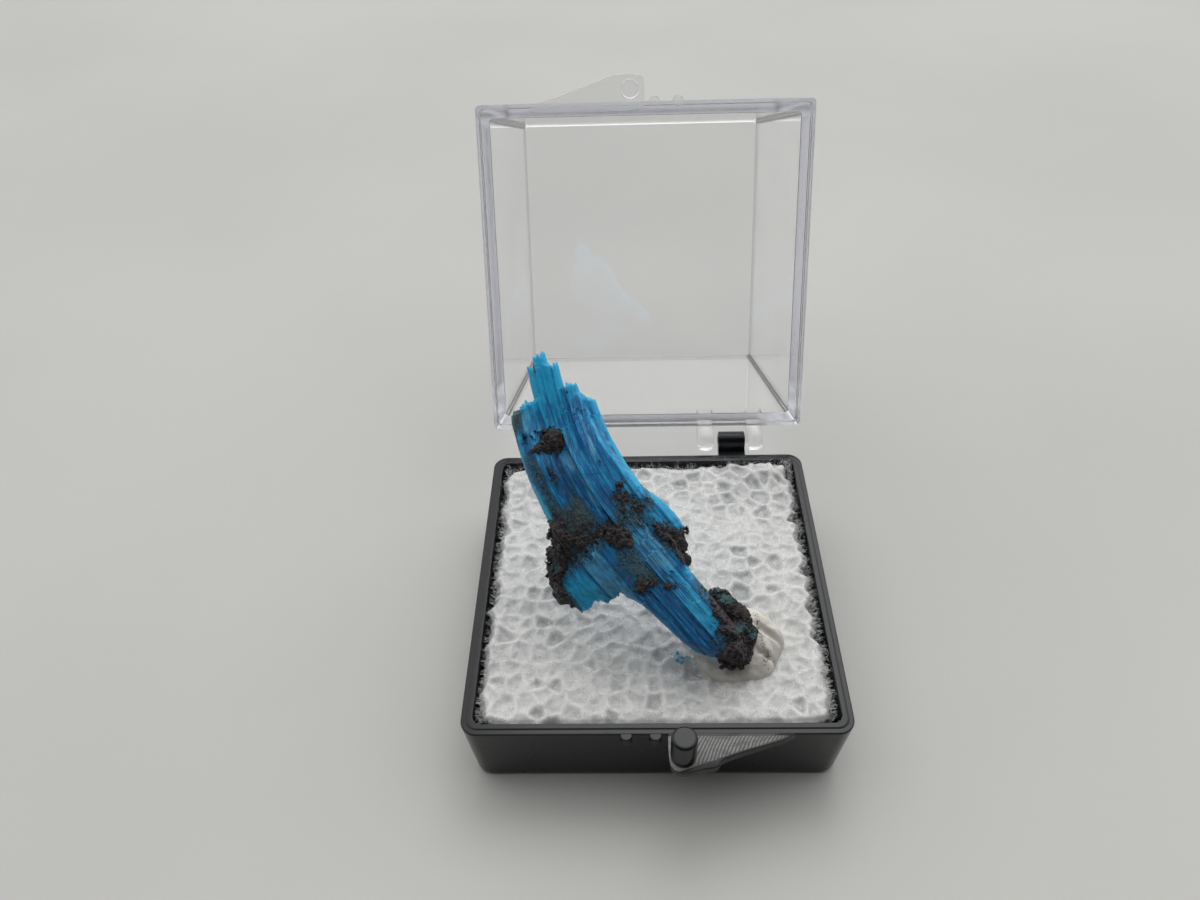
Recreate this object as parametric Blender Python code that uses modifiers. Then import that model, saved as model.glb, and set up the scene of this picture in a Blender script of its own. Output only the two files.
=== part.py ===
"""Chalcanthite specimen in a small hinged display box, lid open.

Frame: millimetres are written through MM, so all lengths are metres. +Z is up, the origin is the
centre of the tray's underside, and the front of the box, with its thumb tabs, faces -Y.
"""

import math
import random

import bmesh
import bpy
import numpy as np
from mathutils import Matrix, Vector, noise

MM = 0.001
OBJECT_NAME = "chalcanthite_in_display_box"

# Box
BOX_SIDE = 31.75 * MM
BOX_CORNER = 1.4 * MM
TRAY_HEIGHT = 7.65 * MM
TRAY_TAPER = 0.54 * MM
TRAY_BOTTOM_EDGE = 0.6 * MM
TRAY_WALL = 0.85 * MM
TRAY_FLOOR = 1.2 * MM
LEDGE_WIDTH = 0.5 * MM
LIP_HEIGHT = 0.12 * MM
LIP_EDGE = 0.04 * MM

# Lid, whose sizes are those of the closed lid
LID_GAP = 0.15 * MM
LID_HEIGHT = 25.2 * MM
LID_WALL = 1.2 * MM
LID_TOP_THICKNESS = 1.27 * MM
LID_DRAFT_X = 1.15 * MM
LID_DRAFT_Y = 0.64 * MM
LID_CORNER = 0.4 * MM
LID_TOP_EDGE = 0.35 * MM
REBATE_GAP = 0.15 * MM
REBATE_HEIGHT = 0.65 * MM
LID_OPEN_ANGLE = math.radians(114.75)

# Thumb tabs and their snaps, at the front rim of the tray and of the lid
TAB_THICKNESS = 0.75 * MM
TAB_OFFSET = 0.02 * MM
TRAY_TAB = [(0.87, -15.4), (0.85, -17.6), (0.91, -18.2), (1.08, -18.69), (1.45, -18.97), (1.91, -19.06),
            (2.44, -19.04), (2.99, -18.94), (3.62, -18.74), (4.7, -18.35), (6.02, -17.63), (8.04, -16.96),
            (10.48, -16.17), (11.4, -15.4)]
LID_TAB = [(-0.03, -15.4), (-0.03, -17.7), (-0.35, -18.25), (-2.54, -18.29), (-3.64, -18.02),
           (-6.43, -16.98), (-9.7, -15.93), (-10.6, -15.4)]
SNAP_DEPTH = -15.9 * MM
SNAP_RADIUS = 0.5 * MM
SNAP_SINK = 0.03 * MM
TRAY_SNAPS = (-2.45 * MM, -0.11 * MM)
LID_SNAPS = (0.9 * MM, 3.1 * MM)
PEG_CHAMFER = 0.18 * MM
PEG_STEPS = 16
PEG_MERGE = 0.01 * MM
TRAY_PEG = (2.02 * MM, -17.7 * MM)
TRAY_PEG_RADIUS = 1.0 * MM
TRAY_PEG_BOTTOM = 7.1 * MM
TRAY_PEG_TOP = 10.5 * MM
LID_PEG = (-1.37 * MM, -16.95 * MM)
LID_PEG_RADIUS = 0.85 * MM
LID_PEG_BOTTOM = 6.6 * MM
LID_PEG_TOP = 9.0 * MM

# Hinge at the back rim
HINGE_Y = 17.504 * MM
HINGE_Z = 8.245 * MM
TONGUE_X = (7.5 * MM, 10.2 * MM)
TONGUE_RADIUS = 0.87 * MM
TONGUE_FOOT = [(15.5, 7.45), (15.5, 6.0), (16.2, 6.1)]
TONGUE_BACK = (16.45, 7.5)
PIN_RADIUS = 0.5 * MM
PIN_X = (5.75 * MM, 11.75 * MM)
KNUCKLES_X = ((5.3 * MM, 7.25 * MM), (10.45 * MM, 12.2 * MM))
KNUCKLE_RADIUS = 1.25 * MM
KNUCKLE_HOLE = 0.62 * MM
KNUCKLE_ROOT = [(15.3, 10.9), (15.3, 9.0), (15.95, 8.75)]

# Foam pad and putty
PART_GAP = 0.3 * MM
FOAM_HALF = 14.475 * MM
FOAM_TOP = 7.5 * MM
FOAM_CORNER = 1.0 * MM
FOAM_BUMP = 0.3 * MM
FOAM_CELLS = 17
FOAM_DENT = 0.9 * MM
FOAM_DENT_RADII = (4.9 * MM, 6.3 * MM)
PUTTY_CENTRE = (8.0 * MM, -7.3 * MM)
PUTTY_BASE = 7.2 * MM
PUTTY_RADII = (3.6 * MM, 3.9 * MM, 2.1 * MM)
PUTTY_BUMP = 0.12

# The bundle lies in a plane leaning back from its foot
FOOT = Vector((7.23 * MM, -10.16 * MM, 8.27 * MM))
LEAN_BACK = math.radians(45.8)
LEAN_TURN = math.radians(2.27)
LEAN_ROLL = math.radians(-2.31)

# Fibre direction: straight from the foot, bending towards the tip
FLOW_START = (0.915 * MM, -0.787 * MM)
FLOW_ANGLES = (math.radians(40.9), math.radians(10.6))
FLOW_BEND = (13.2 * MM, 34.6 * MM)
FLOW_STEP = 0.05 * MM

# Where fibres begin and end, across the bundle: (offset from the middle line, distance along it), mm
LOWER_ENDS = [(-8.4, 15.0), (-8.0, 13.9), (-7.4, 12.9), (-6.6, 13.0), (-5.6, 12.5), (-4.6, 12.0),
              (-3.8, 11.9), (-3.3, 10.8), (-2.8, 9.2), (-2.2, 4.8), (-1.7, 3.2), (-0.9, 2.0), (-0.3, 1.5),
              (0.2, 1.2), (1.2, 1.4), (1.75, 2.2), (1.8, 10.2), (2.5, 10.6), (3.0, 11.8), (3.6, 12.6),
              (4.2, 13.4)]
UPPER_ENDS = [(-8.4, 15.2), (-7.9, 15.8), (-7.5, 16.8), (-6.6, 17.3), (-5.9, 18.4), (-5.3, 19.4),
              (-4.7, 21.5), (-4.4, 24.4), (-4.1, 27.9), (-3.3, 28.9), (-2.5, 29.4), (-1.7, 29.3),
              (-1.6, 31.8), (-0.9, 32.0), (-0.3, 32.7), (0.0, 31.9), (0.95, 31.9), (1.0, 29.8),
              (1.9, 29.8), (1.95, 28.9), (2.7, 28.3), (3.2, 27.3), (3.3, 18.8), (4.2, 17.2)]
FRONT_UPPER_ENDS = [(-8.4, 15.0), (-6.6, 16.2), (-5.0, 18.8), (-4.2, 26.3), (-3.0, 28.0), (-1.7, 26.6),
                    (0.6, 26.0), (1.0, 27.9), (2.2, 27.8), (3.0, 22.5), (4.2, 16.5)]
BLADE_EDGES = [-8.0, -7.1, -6.2, -5.2, -4.2, -3.2, -2.3, -1.2, -0.55, 0.05, 0.75, 1.65, 2.4, 3.05, 3.85]
BLADE_LAYERS = ((0.0, 2.3), (1.45, 1.9), (-1.5, 1.9))
BLADE_STEP = 5.5 * MM
BACK_LOWEST = 4.2
BLADE_OVERLAP = 0.5
BLADE_SEED = 12

# Matrix lumps: (across, up, towards the front, radius) in the bundle's plane, mm
LUMPS = {
    "matrix_foot": [(-1.4, 5.0, 0.9, 1.1), (-0.4, 4.0, 0.7, 1.3), (0.0, 2.5, 0.5, 1.4), (-0.3, 1.1, 0.4, 1.3)],
    "matrix_upper": [(-15.5, 19.2, 1.7, 1.15), (-16.0, 18.6, 1.6, 1.0), (-17.0, 18.3, 1.3, 0.7)],
    "matrix_left": [(-14.4, 11.6, 1.2, 1.1), (-14.8, 10.4, 1.1, 1.15), (-15.0, 9.2, 0.8, 1.0),
                    (-15.2, 8.0, 0.5, 0.85), (-15.2, 6.9, 0.3, 0.85), (-14.7, 5.7, 0.2, 0.8)],
    "matrix_centre": [(-9.6, 10.5, 2.0, 0.9), (-10.7, 10.1, 1.9, 0.85)],
    "matrix_right": [(-6.8, 11.8, 1.5, 0.75), (-5.9, 11.2, 1.1, 0.9), (-5.2, 10.1, 0.8, 0.95), (-4.9, 8.9, 0.5, 0.85)],
    "matrix_lower": [(-8.2, 6.7, 1.6, 0.72)],
}
LUMP_ROUGHNESS = 0.5
LUMP_GAP = 0.3 * MM


def clear_scene() -> None:
    """Remove every object of the scene."""
    for obj in list(bpy.data.objects):
        bpy.data.objects.remove(obj, do_unlink=True)


def make_collection(name: str, is_helper: bool = False):
    """Return a new collection of the scene, hidden from renders when it holds cutters."""
    collection = bpy.data.collections.new(name)
    bpy.context.scene.collection.children.link(collection)
    collection.hide_render = is_helper
    return collection


def make_material(name: str, colour, roughness: float, alpha: float = 1.0, transmission: float = 0.0):
    """Return a non-metallic Principled material."""
    material = bpy.data.materials.new(name)
    material.use_nodes = True
    shader = material.node_tree.nodes["Principled BSDF"]
    shader.inputs["Base Color"].default_value = (*colour, 1.0)
    shader.inputs["Roughness"].default_value = roughness
    shader.inputs["Metallic"].default_value = 0.0
    shader.inputs["Alpha"].default_value = alpha
    shader.inputs["Transmission Weight"].default_value = transmission
    return material


def add_object(name: str, mesh, collection, material=None):
    """Return a new object for the mesh; without a material it is a helper, drawn as wire."""
    obj = bpy.data.objects.new(name, mesh)
    collection.objects.link(obj)
    if material:
        mesh.materials.append(material)
    else:
        obj.hide_render = True
        obj.display_type = "WIRE"
    return obj


def mesh_of(bm, name: str):
    """Turn a bmesh into a mesh with its faces outward, and free it."""
    bmesh.ops.recalc_face_normals(bm, faces=bm.faces)
    mesh = bpy.data.meshes.new(name)
    bm.to_mesh(mesh)
    bm.free()
    return mesh


def smooth(mesh, angle_deg: float = 35.0) -> None:
    """Shade the mesh smooth, with its sharp edges kept."""
    mesh.shade_smooth()
    mesh.set_sharp_from_angle(angle=math.radians(angle_deg))


def combine(obj, operation: str, other) -> None:
    """Add an exact Boolean modifier to the object."""
    modifier = obj.modifiers.new(operation.lower() + "_" + other.name, "BOOLEAN")
    modifier.operation = operation
    modifier.solver = "EXACT"
    modifier.object = other


def frozen_mesh(obj, name: str):
    """Return a copy of the object's mesh with its modifiers applied, in world space."""
    bpy.context.view_layer.update()
    graph = bpy.context.evaluated_depsgraph_get()
    mesh = bpy.data.meshes.new_from_object(obj.evaluated_get(graph))
    mesh.name = name
    mesh.transform(obj.matrix_world)
    return mesh


def tapered_box(name: str, bottom, top, corner: float, edge: float, edge_at_top: bool):
    """Box with round upright corners and one rounded rim.

    bottom and top are (half width, half depth, height).
    """
    bm = bmesh.new()
    bmesh.ops.create_cube(bm, size=2.0)
    for vert in bm.verts:
        half_x, half_y, height = top if vert.co.z > 0 else bottom
        vert.co = (vert.co.x * half_x, vert.co.y * half_y, height)
    middle = (bottom[2] + top[2]) / 2
    upright = [e for e in bm.edges if abs(e.verts[0].co.z - e.verts[1].co.z) > abs(top[2] - bottom[2]) / 2]
    bmesh.ops.bevel(bm, geom=upright, offset=corner, segments=4, profile=0.5, affect="EDGES", clamp_overlap=True)
    if edge:
        rim = [e for e in bm.edges if all((v.co.z > middle) == edge_at_top for v in e.verts)]
        bmesh.ops.bevel(bm, geom=rim, offset=edge, segments=2, profile=0.5, affect="EDGES", clamp_overlap=True)
    return mesh_of(bm, name)


def outline_plate(name: str, splines, thickness: float, collection):
    """Plate from closed flat outlines in mm; an outline inside another is a hole."""
    curve = bpy.data.curves.new(name + "_outline", "CURVE")
    curve.dimensions = "2D"
    curve.fill_mode = "BOTH"
    curve.extrude = thickness / 2
    for points in splines:
        spline = curve.splines.new("POLY")
        spline.points.add(len(points) - 1)
        spline.use_cyclic_u = True
        for point, (x, y) in zip(spline.points, points):
            point.co = (x * MM, y * MM, 0.0, 1.0)
    outline = bpy.data.objects.new(name + "_outline", curve)
    collection.objects.link(outline)
    mesh = frozen_mesh(outline, name)
    bm = bmesh.new()
    bm.from_mesh(mesh)
    bmesh.ops.remove_doubles(bm, verts=bm.verts, dist=0.001 * MM)
    bmesh.ops.recalc_face_normals(bm, faces=bm.faces)
    bm.to_mesh(mesh)
    bm.free()
    bpy.data.objects.remove(outline, do_unlink=True)
    return mesh


def arc_points(centre, radius: float, start_deg: float, end_deg: float, steps: int):
    """Points of an arc, in mm."""
    angles = [math.radians(start_deg + (end_deg - start_deg) * i / steps) for i in range(steps + 1)]
    return [(centre[0] + radius * math.cos(a), centre[1] + radius * math.sin(a)) for a in angles]


def upright_plate(name: str, splines, x_range, collection):
    """Plate whose outlines are in (y, z) mm, standing across the x range."""
    mesh = outline_plate(name, splines, x_range[1] - x_range[0], collection)
    middle = (x_range[0] + x_range[1]) / 2
    columns = ((0, 1, 0), (0, 0, 1), (1, 0, 0))
    turn = Matrix(columns).transposed().to_4x4()
    mesh.transform(Matrix.Translation((middle, 0, 0)) @ turn)
    return mesh


def add_cylinder(name: str, radius: float, start, end, collection, sides: int = 20):
    """Helper cylinder between two points."""
    axis = Vector(end) - Vector(start)
    bm = bmesh.new()
    bmesh.ops.create_cone(bm, cap_ends=True, segments=sides, radius1=radius, radius2=radius, depth=axis.length)
    mesh = mesh_of(bm, name)
    place = Matrix.Translation((Vector(start) + Vector(end)) / 2)
    mesh.transform(place @ axis.to_track_quat("Z", "Y").to_matrix().to_4x4())
    return add_object(name, mesh, collection)


def add_peg(name: str, centre, radius: float, bottom: float, top: float, collection):
    """Helper peg, a turned profile with both ends chamfered."""
    profile = [(0.0, top), (radius - PEG_CHAMFER, top), (radius, top - PEG_CHAMFER),
               (radius, bottom + PEG_CHAMFER), (radius - PEG_CHAMFER, bottom), (0.0, bottom)]
    mesh = bpy.data.meshes.new(name)
    mesh.from_pydata([(r, 0.0, z) for r, z in profile], [(i, i + 1) for i in range(len(profile) - 1)], [])
    peg = add_object(name, mesh, collection)
    peg.location = (centre[0], centre[1], 0.0)
    screw = peg.modifiers.new("turn", "SCREW")
    screw.steps = PEG_STEPS
    screw.render_steps = PEG_STEPS
    screw.use_merge_vertices = True
    screw.merge_threshold = PEG_MERGE
    return peg


def add_tab(name: str, outline, bottom: float, collection):
    """Helper plate for a thumb tab, its underside at the given height."""
    mesh = outline_plate(name, [outline], TAB_THICKNESS, collection)
    mesh.transform(Matrix.Translation((0, 0, bottom + TAB_THICKNESS / 2)))
    return add_object(name, mesh, collection)


def build_tray(parts, helpers, material):
    """Black tray: ledge, lip, thumb tab, peg, snap bumps, hinge tongue and pins in one piece."""
    half = BOX_SIDE / 2
    foot_half = half - TRAY_TAPER
    body = tapered_box("base_tray", (foot_half, foot_half, 0.0), (half, half, TRAY_HEIGHT),
                       BOX_CORNER, TRAY_BOTTOM_EDGE, False)
    tray = add_object("base_tray", body, parts, material)

    lip_half = half - LEDGE_WIDTH
    lip = tapered_box("tray_lip", (lip_half, lip_half, TRAY_HEIGHT - 1 * MM),
                      (lip_half, lip_half, TRAY_HEIGHT + LIP_HEIGHT), BOX_CORNER - LEDGE_WIDTH, LIP_EDGE, True)
    combine(tray, "UNION", add_object("tray_lip", lip, helpers))

    inner_half = half - TRAY_WALL
    hollow = tapered_box("tray_hollow", (inner_half - TRAY_TAPER, inner_half - TRAY_TAPER, TRAY_FLOOR),
                         (inner_half, inner_half, TRAY_HEIGHT + 2 * MM), BOX_CORNER - LEDGE_WIDTH, 0.0, False)
    combine(tray, "DIFFERENCE", add_object("tray_hollow", hollow, helpers))

    tab_bottom = TRAY_HEIGHT - TAB_THICKNESS
    combine(tray, "UNION", add_tab("tray_tab", TRAY_TAB, tab_bottom - TAB_OFFSET, helpers))
    combine(tray, "UNION", add_peg("tray_peg", TRAY_PEG, TRAY_PEG_RADIUS, TRAY_PEG_BOTTOM, TRAY_PEG_TOP,
                                   helpers))
    for index, x in enumerate(TRAY_SNAPS):
        combine(tray, "UNION", add_cylinder(f"tray_snap_{index}", SNAP_RADIUS, (x, SNAP_DEPTH, tab_bottom),
                                            (x, SNAP_DEPTH, TRAY_HEIGHT - SNAP_SINK), helpers, 16))

    axis = (HINGE_Y / MM, HINGE_Z / MM)
    tongue = TONGUE_FOOT + arc_points(axis, TONGUE_RADIUS / MM, -60, 165, 12) + [TONGUE_BACK]
    block = upright_plate("hinge_tongue", [tongue], TONGUE_X, helpers)
    combine(tray, "UNION", add_object("hinge_tongue", block, helpers))
    combine(tray, "UNION", add_cylinder("hinge_pins", PIN_RADIUS, (PIN_X[0], HINGE_Y, HINGE_Z),
                                        (PIN_X[1], HINGE_Y, HINGE_Z), helpers, 24))
    smooth(body)
    return tray


def build_lid(parts, helpers, material):
    """Clear lid, modelled closed, then swung open on the hinge axis, where its origin is."""
    rim = TRAY_HEIGHT + LID_GAP
    top = rim + LID_HEIGHT
    half = BOX_SIDE / 2
    body = tapered_box("lid", (half, half, rim), (half - LID_DRAFT_X, half - LID_DRAFT_Y, top),
                       LID_CORNER, LID_TOP_EDGE, True)
    shell = add_object("lid_shell", body, helpers)

    inside = half - LID_WALL
    hollow = tapered_box("lid_hollow", (inside, inside, rim - 1 * MM),
                         (inside - LID_DRAFT_X, inside - LID_DRAFT_Y, top - LID_TOP_THICKNESS),
                         LID_CORNER, 0.0, True)
    combine(shell, "DIFFERENCE", add_object("lid_hollow", hollow, helpers))

    tab_bottom = rim + TAB_OFFSET
    combine(shell, "UNION", add_tab("lid_tab", LID_TAB, tab_bottom, helpers))
    combine(shell, "UNION", add_peg("lid_peg", LID_PEG, LID_PEG_RADIUS, LID_PEG_BOTTOM, LID_PEG_TOP, helpers))
    for index, x in enumerate(LID_SNAPS):
        combine(shell, "UNION", add_cylinder(f"lid_snap_{index}", SNAP_RADIUS, (x, SNAP_DEPTH, tab_bottom),
                                             (x, SNAP_DEPTH, rim + TAB_THICKNESS), helpers, 16))

    axis = (HINGE_Y / MM, HINGE_Z / MM)
    lobe = KNUCKLE_ROOT + arc_points(axis, KNUCKLE_RADIUS / MM, 195, 420, 14)
    hole = arc_points(axis, KNUCKLE_HOLE / MM, 0, 342, 19)
    for index, x_range in enumerate(KNUCKLES_X):
        knuckle = upright_plate(f"knuckle_{index}", [lobe, hole], x_range, helpers)
        combine(shell, "UNION", add_object(f"knuckle_{index}", knuckle, helpers))

    rebate_half = half - LEDGE_WIDTH + REBATE_GAP
    rebate = tapered_box("lid_rebate", (rebate_half, rebate_half, rim - 1 * MM),
                         (rebate_half, rebate_half, rim + REBATE_HEIGHT), LID_CORNER, 0.0, True)
    combine(shell, "DIFFERENCE", add_object("lid_rebate", rebate, helpers))

    mesh = frozen_mesh(shell, "lid")
    mesh.transform(Matrix.Translation((0, -HINGE_Y, -HINGE_Z)))
    mesh.materials.clear()
    smooth(mesh)
    lid = add_object("lid", mesh, parts, material)
    lid.location = (0, HINGE_Y, HINGE_Z)
    lid.rotation_euler = (-LID_OPEN_ANGLE, 0, 0)
    return lid


def build_foam(parts, material):
    """Foam pad: a rounded block whose top is a little uneven."""
    half = FOAM_HALF
    floor = TRAY_FLOOR + PART_GAP
    bm = bmesh.new()
    bmesh.ops.create_grid(bm, x_segments=FOAM_CELLS, y_segments=FOAM_CELLS, size=half)
    for vert in bm.verts:
        unit = Vector((vert.co.x / half, vert.co.y / half))
        pull = FOAM_CORNER * (math.sqrt(2) - 1) * (abs(unit.x) * abs(unit.y)) ** 12
        vert.co.x -= math.copysign(pull, vert.co.x)
        vert.co.y -= math.copysign(pull, vert.co.y)
        swell = noise.noise(vert.co * 900.0) + 0.5 * noise.noise(vert.co * 2100.0)
        reach = math.hypot(vert.co.x - PUTTY_CENTRE[0], vert.co.y - PUTTY_CENTRE[1])
        rise = (reach - FOAM_DENT_RADII[0]) / (FOAM_DENT_RADII[1] - FOAM_DENT_RADII[0])
        dent = FOAM_DENT * (1.0 - min(1.0, max(0.0, rise)))
        vert.co.z = FOAM_TOP + FOAM_BUMP * swell - dent
    rim = [edge for edge in bm.edges if edge.is_boundary]
    side = bmesh.ops.extrude_edge_only(bm, edges=rim)["geom"]
    bottom = [item for item in side if isinstance(item, bmesh.types.BMVert)]
    shrink = (half - TRAY_TAPER) / half
    for vert in bottom:
        vert.co = (vert.co.x * shrink, vert.co.y * shrink, floor)
    bmesh.ops.contextual_create(bm, geom=[e for e in bm.edges if e.is_boundary])
    return add_object("foam_insert", mesh_of(bm, "foam_insert"), parts, material)


def putty_mesh(name: str, inflate: float):
    """Putty blob with a flat underside, dimpled by fingers, inflated when it is to shape the foot on it."""
    bm = bmesh.new()
    bmesh.ops.create_icosphere(bm, subdivisions=3, radius=1.0)
    for vert in bm.verts:
        direction = vert.co.normalized()
        swell = 1.0 + PUTTY_BUMP * noise.noise(direction * 1.7 + Vector((3.0, 1.0, 7.0)))
        vert.co = Vector(direction[i] * (PUTTY_RADII[i] * swell + inflate) for i in range(3))
        vert.co.z = max(vert.co.z, -inflate)
    bmesh.ops.dissolve_limit(bm, angle_limit=math.radians(1.0), verts=bm.verts, edges=bm.edges)
    bmesh.ops.triangulate(bm, faces=bm.faces)
    bmesh.ops.translate(bm, verts=bm.verts, vec=(PUTTY_CENTRE[0], PUTTY_CENTRE[1], PUTTY_BASE))
    return mesh_of(bm, name)


def build_putty(parts, material):
    """Putty blob sunk a little into the foam."""
    mesh = putty_mesh("putty", 0.0)
    smooth(mesh, 60.0)
    return add_object("putty", mesh, parts, material)


def bundle_matrix() -> Matrix:
    """Place of the bundle's plane: x across, y up the plane, z towards its front."""
    turn = Matrix.Rotation(LEAN_TURN, 4, "Z") @ Matrix.Rotation(math.pi / 2 - LEAN_BACK, 4, "X")
    return Matrix.Translation(FOOT) @ turn @ Matrix.Rotation(LEAN_ROLL, 4, "Z")


def keep_largest_body(mesh) -> None:
    """Drop the loose chips that a pocket cuts off, so that one closed body is left."""
    bm = bmesh.new()
    bm.from_mesh(mesh)
    unseen = set(bm.faces)
    bodies = []
    while unseen:
        border = [unseen.pop()]
        body = []
        while border:
            face = border.pop()
            body.append(face)
            near = {other for edge in face.edges if len(edge.link_faces) == 2 for other in edge.link_faces}
            near &= unseen
            unseen -= near
            border.extend(near)
        bodies.append(body)
    largest = max(bodies, key=len)
    chips = [face for body in bodies if body is not largest for face in body]
    bmesh.ops.delete(bm, geom=chips, context="FACES")
    bm.to_mesh(mesh)
    bm.free()


class Flow:
    """Middle line of the fibres, as a heading that eases from one angle to another along it."""

    def __init__(self) -> None:
        self.along = np.arange(0.0, 36.0 * MM, FLOW_STEP)
        ease = np.clip((self.along - FLOW_BEND[0]) / (FLOW_BEND[1] - FLOW_BEND[0]), 0, 1)
        self.heading = FLOW_ANGLES[0] + (FLOW_ANGLES[1] - FLOW_ANGLES[0]) * ease * ease * (3 - 2 * ease)
        steps = np.stack([-np.sin(self.heading), np.cos(self.heading)], axis=1) * FLOW_STEP
        self.points = np.array(FLOW_START) + np.cumsum(steps, axis=0) - steps

    def place(self, along: float, across: float, depth: float) -> Vector:
        """Point at a distance along the line, an offset to its right and a depth towards the front."""
        heading = np.interp(along, self.along, self.heading)
        x = np.interp(along, self.along, self.points[:, 0]) + across * math.cos(heading)
        y = np.interp(along, self.along, self.points[:, 1]) + across * math.sin(heading)
        return Vector((x, y, depth))


def blade_mesh(name: str, flow: Flow, across, depth, ends, rng):
    """One blade: a six-sided section swept along the fibres, with slanted flat ends."""
    width, thickness = across[1] - across[0], depth[1]
    corners = [(-0.5, -0.15), (-0.22, -0.5), (0.34, -0.46), (0.5, 0.12), (0.24, 0.5), (-0.32, 0.44)]
    corners = [(x * rng.uniform(0.92, 1.08), z * rng.uniform(0.88, 1.12)) for x, z in corners]
    slants = (rng.uniform(-0.35, 0.35), rng.uniform(-0.35, 0.35))
    count = max(2, round((ends[1] - ends[0]) / BLADE_STEP) + 1)
    bm = bmesh.new()
    rings = []
    for i in range(count):
        share = i / (count - 1)
        along = ends[0] + (ends[1] - ends[0]) * share
        slant = slants[0] * (1 - share) + slants[1] * share
        swell = 1.0 + 0.06 * math.sin(2.3 * i + depth[0] * 900.0)
        ring = []
        for x, z in corners:
            offset = (across[0] + across[1]) / 2 + x * width * swell
            ring.append(bm.verts.new(flow.place(along + slant * x * width * 2, offset,
                                                depth[0] + z * thickness * swell)))
        rings.append(ring)
    for first, second in zip(rings, rings[1:]):
        for j in range(len(first)):
            k = (j + 1) % len(first)
            bm.faces.new((first[j], first[k], second[k], second[j]))
    bm.faces.new(rings[0][::-1])
    bm.faces.new(rings[-1])
    bmesh.ops.triangulate(bm, faces=bm.faces)
    return mesh_of(bm, name)


def blade_plan(rng):
    """Yield (across, depth, ends) of each blade in metres: bands across the bundle, in layers."""
    lower = np.array(LOWER_ENDS).T
    upper = np.array(UPPER_ENDS).T
    front_upper = np.array(FRONT_UPPER_ENDS).T
    for left, right in zip(BLADE_EDGES, BLADE_EDGES[1:]):
        middle = (left + right) / 2
        thinning = 1.0 - 0.55 * min(1.0, abs(middle + 0.8) / 6.5) ** 1.5
        for centre, thickness in BLADE_LAYERS:
            low = np.interp(middle, *lower)
            high = np.interp(middle, *upper)
            if centre > 0:
                low += rng.uniform(0.2, 1.0)
                high = min(high - 0.6, np.interp(middle, *front_upper))
            elif centre < 0:
                low = max(low + rng.uniform(0.3, 1.6), BACK_LOWEST)
                high -= rng.uniform(0.8, 5.0)
            if high - low < 1.6:
                continue
            across = ((left - BLADE_OVERLAP / 2) * MM, (right + BLADE_OVERLAP / 2) * MM)
            depth = (centre * thinning + rng.uniform(-0.12, 0.12), thickness * thinning * rng.uniform(0.92, 1.12))
            yield across, (depth[0] * MM, depth[1] * MM), (low * MM, high * MM)


def lump_mesh(name: str, lump, inflate: float, seed: int):
    """One rough lump in the bundle's plane, inflated when it is to cut its own pocket."""
    x, y, z, radius = lump
    bm = bmesh.new()
    bmesh.ops.create_icosphere(bm, subdivisions=2, radius=1.0)
    for vert in bm.verts:
        direction = vert.co.normalized()
        origin = Vector((seed * 3.1, seed * 1.7, seed * 0.9))
        rough = noise.noise(direction * 1.5 + origin) + 0.45 * noise.noise(direction * 4.0 + origin)
        vert.co = direction * (radius * MM * (1.0 + LUMP_ROUGHNESS * rough) + inflate)
    bmesh.ops.translate(bm, verts=bm.verts, vec=(x * MM, y * MM, z * MM))
    return mesh_of(bm, name)


def add_lump(name: str, lumps, inflate: float, seed: int, collection, helpers, material=None):
    """Object of several rough lumps united, in the bundle's plane."""
    first = add_object(name, lump_mesh(name, lumps[0], inflate, seed), collection, material)
    for index, lump in enumerate(lumps[1:], start=1):
        part_name = f"{name}_{index}"
        part = add_object(part_name, lump_mesh(part_name, lump, inflate, seed + index), helpers)
        part.parent = first
        combine(first, "UNION", part)
    return first


def build_crystal(parts, helpers, material, putty_cutter):
    """The blue bundle: all its blades united, with a pocket for each lump of matrix."""
    rng = random.Random(BLADE_SEED)
    flow = Flow()
    blades = bpy.data.collections.new("blades")
    helpers.children.link(blades)
    crystal = None
    for index, (across, depth, ends) in enumerate(blade_plan(rng)):
        mesh = blade_mesh(f"blade_{index}", flow, across, depth, ends, rng)
        if crystal is None:
            crystal = add_object("bundle", mesh, helpers)
        else:
            add_object(f"blade_{index}", mesh, blades).matrix_world = bundle_matrix()
    union = crystal.modifiers.new("unite_blades", "BOOLEAN")
    union.operation = "UNION"
    union.solver = "EXACT"
    union.operand_type = "COLLECTION"
    union.collection = blades
    for seed, (name, lumps) in enumerate(LUMPS.items()):
        pocket = add_lump(name + "_pocket", lumps, LUMP_GAP, seed * 10, helpers, helpers)
        pocket.matrix_world = bundle_matrix()
        combine(crystal, "DIFFERENCE", pocket)
    crystal.matrix_world = bundle_matrix()
    combine(crystal, "DIFFERENCE", putty_cutter)
    mesh = frozen_mesh(crystal, "chalcanthite")
    mesh.materials.clear()
    keep_largest_body(mesh)
    mesh.transform(bundle_matrix().inverted())
    node = add_object("chalcanthite", mesh, parts, material)
    node.matrix_world = bundle_matrix()
    return node


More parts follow.
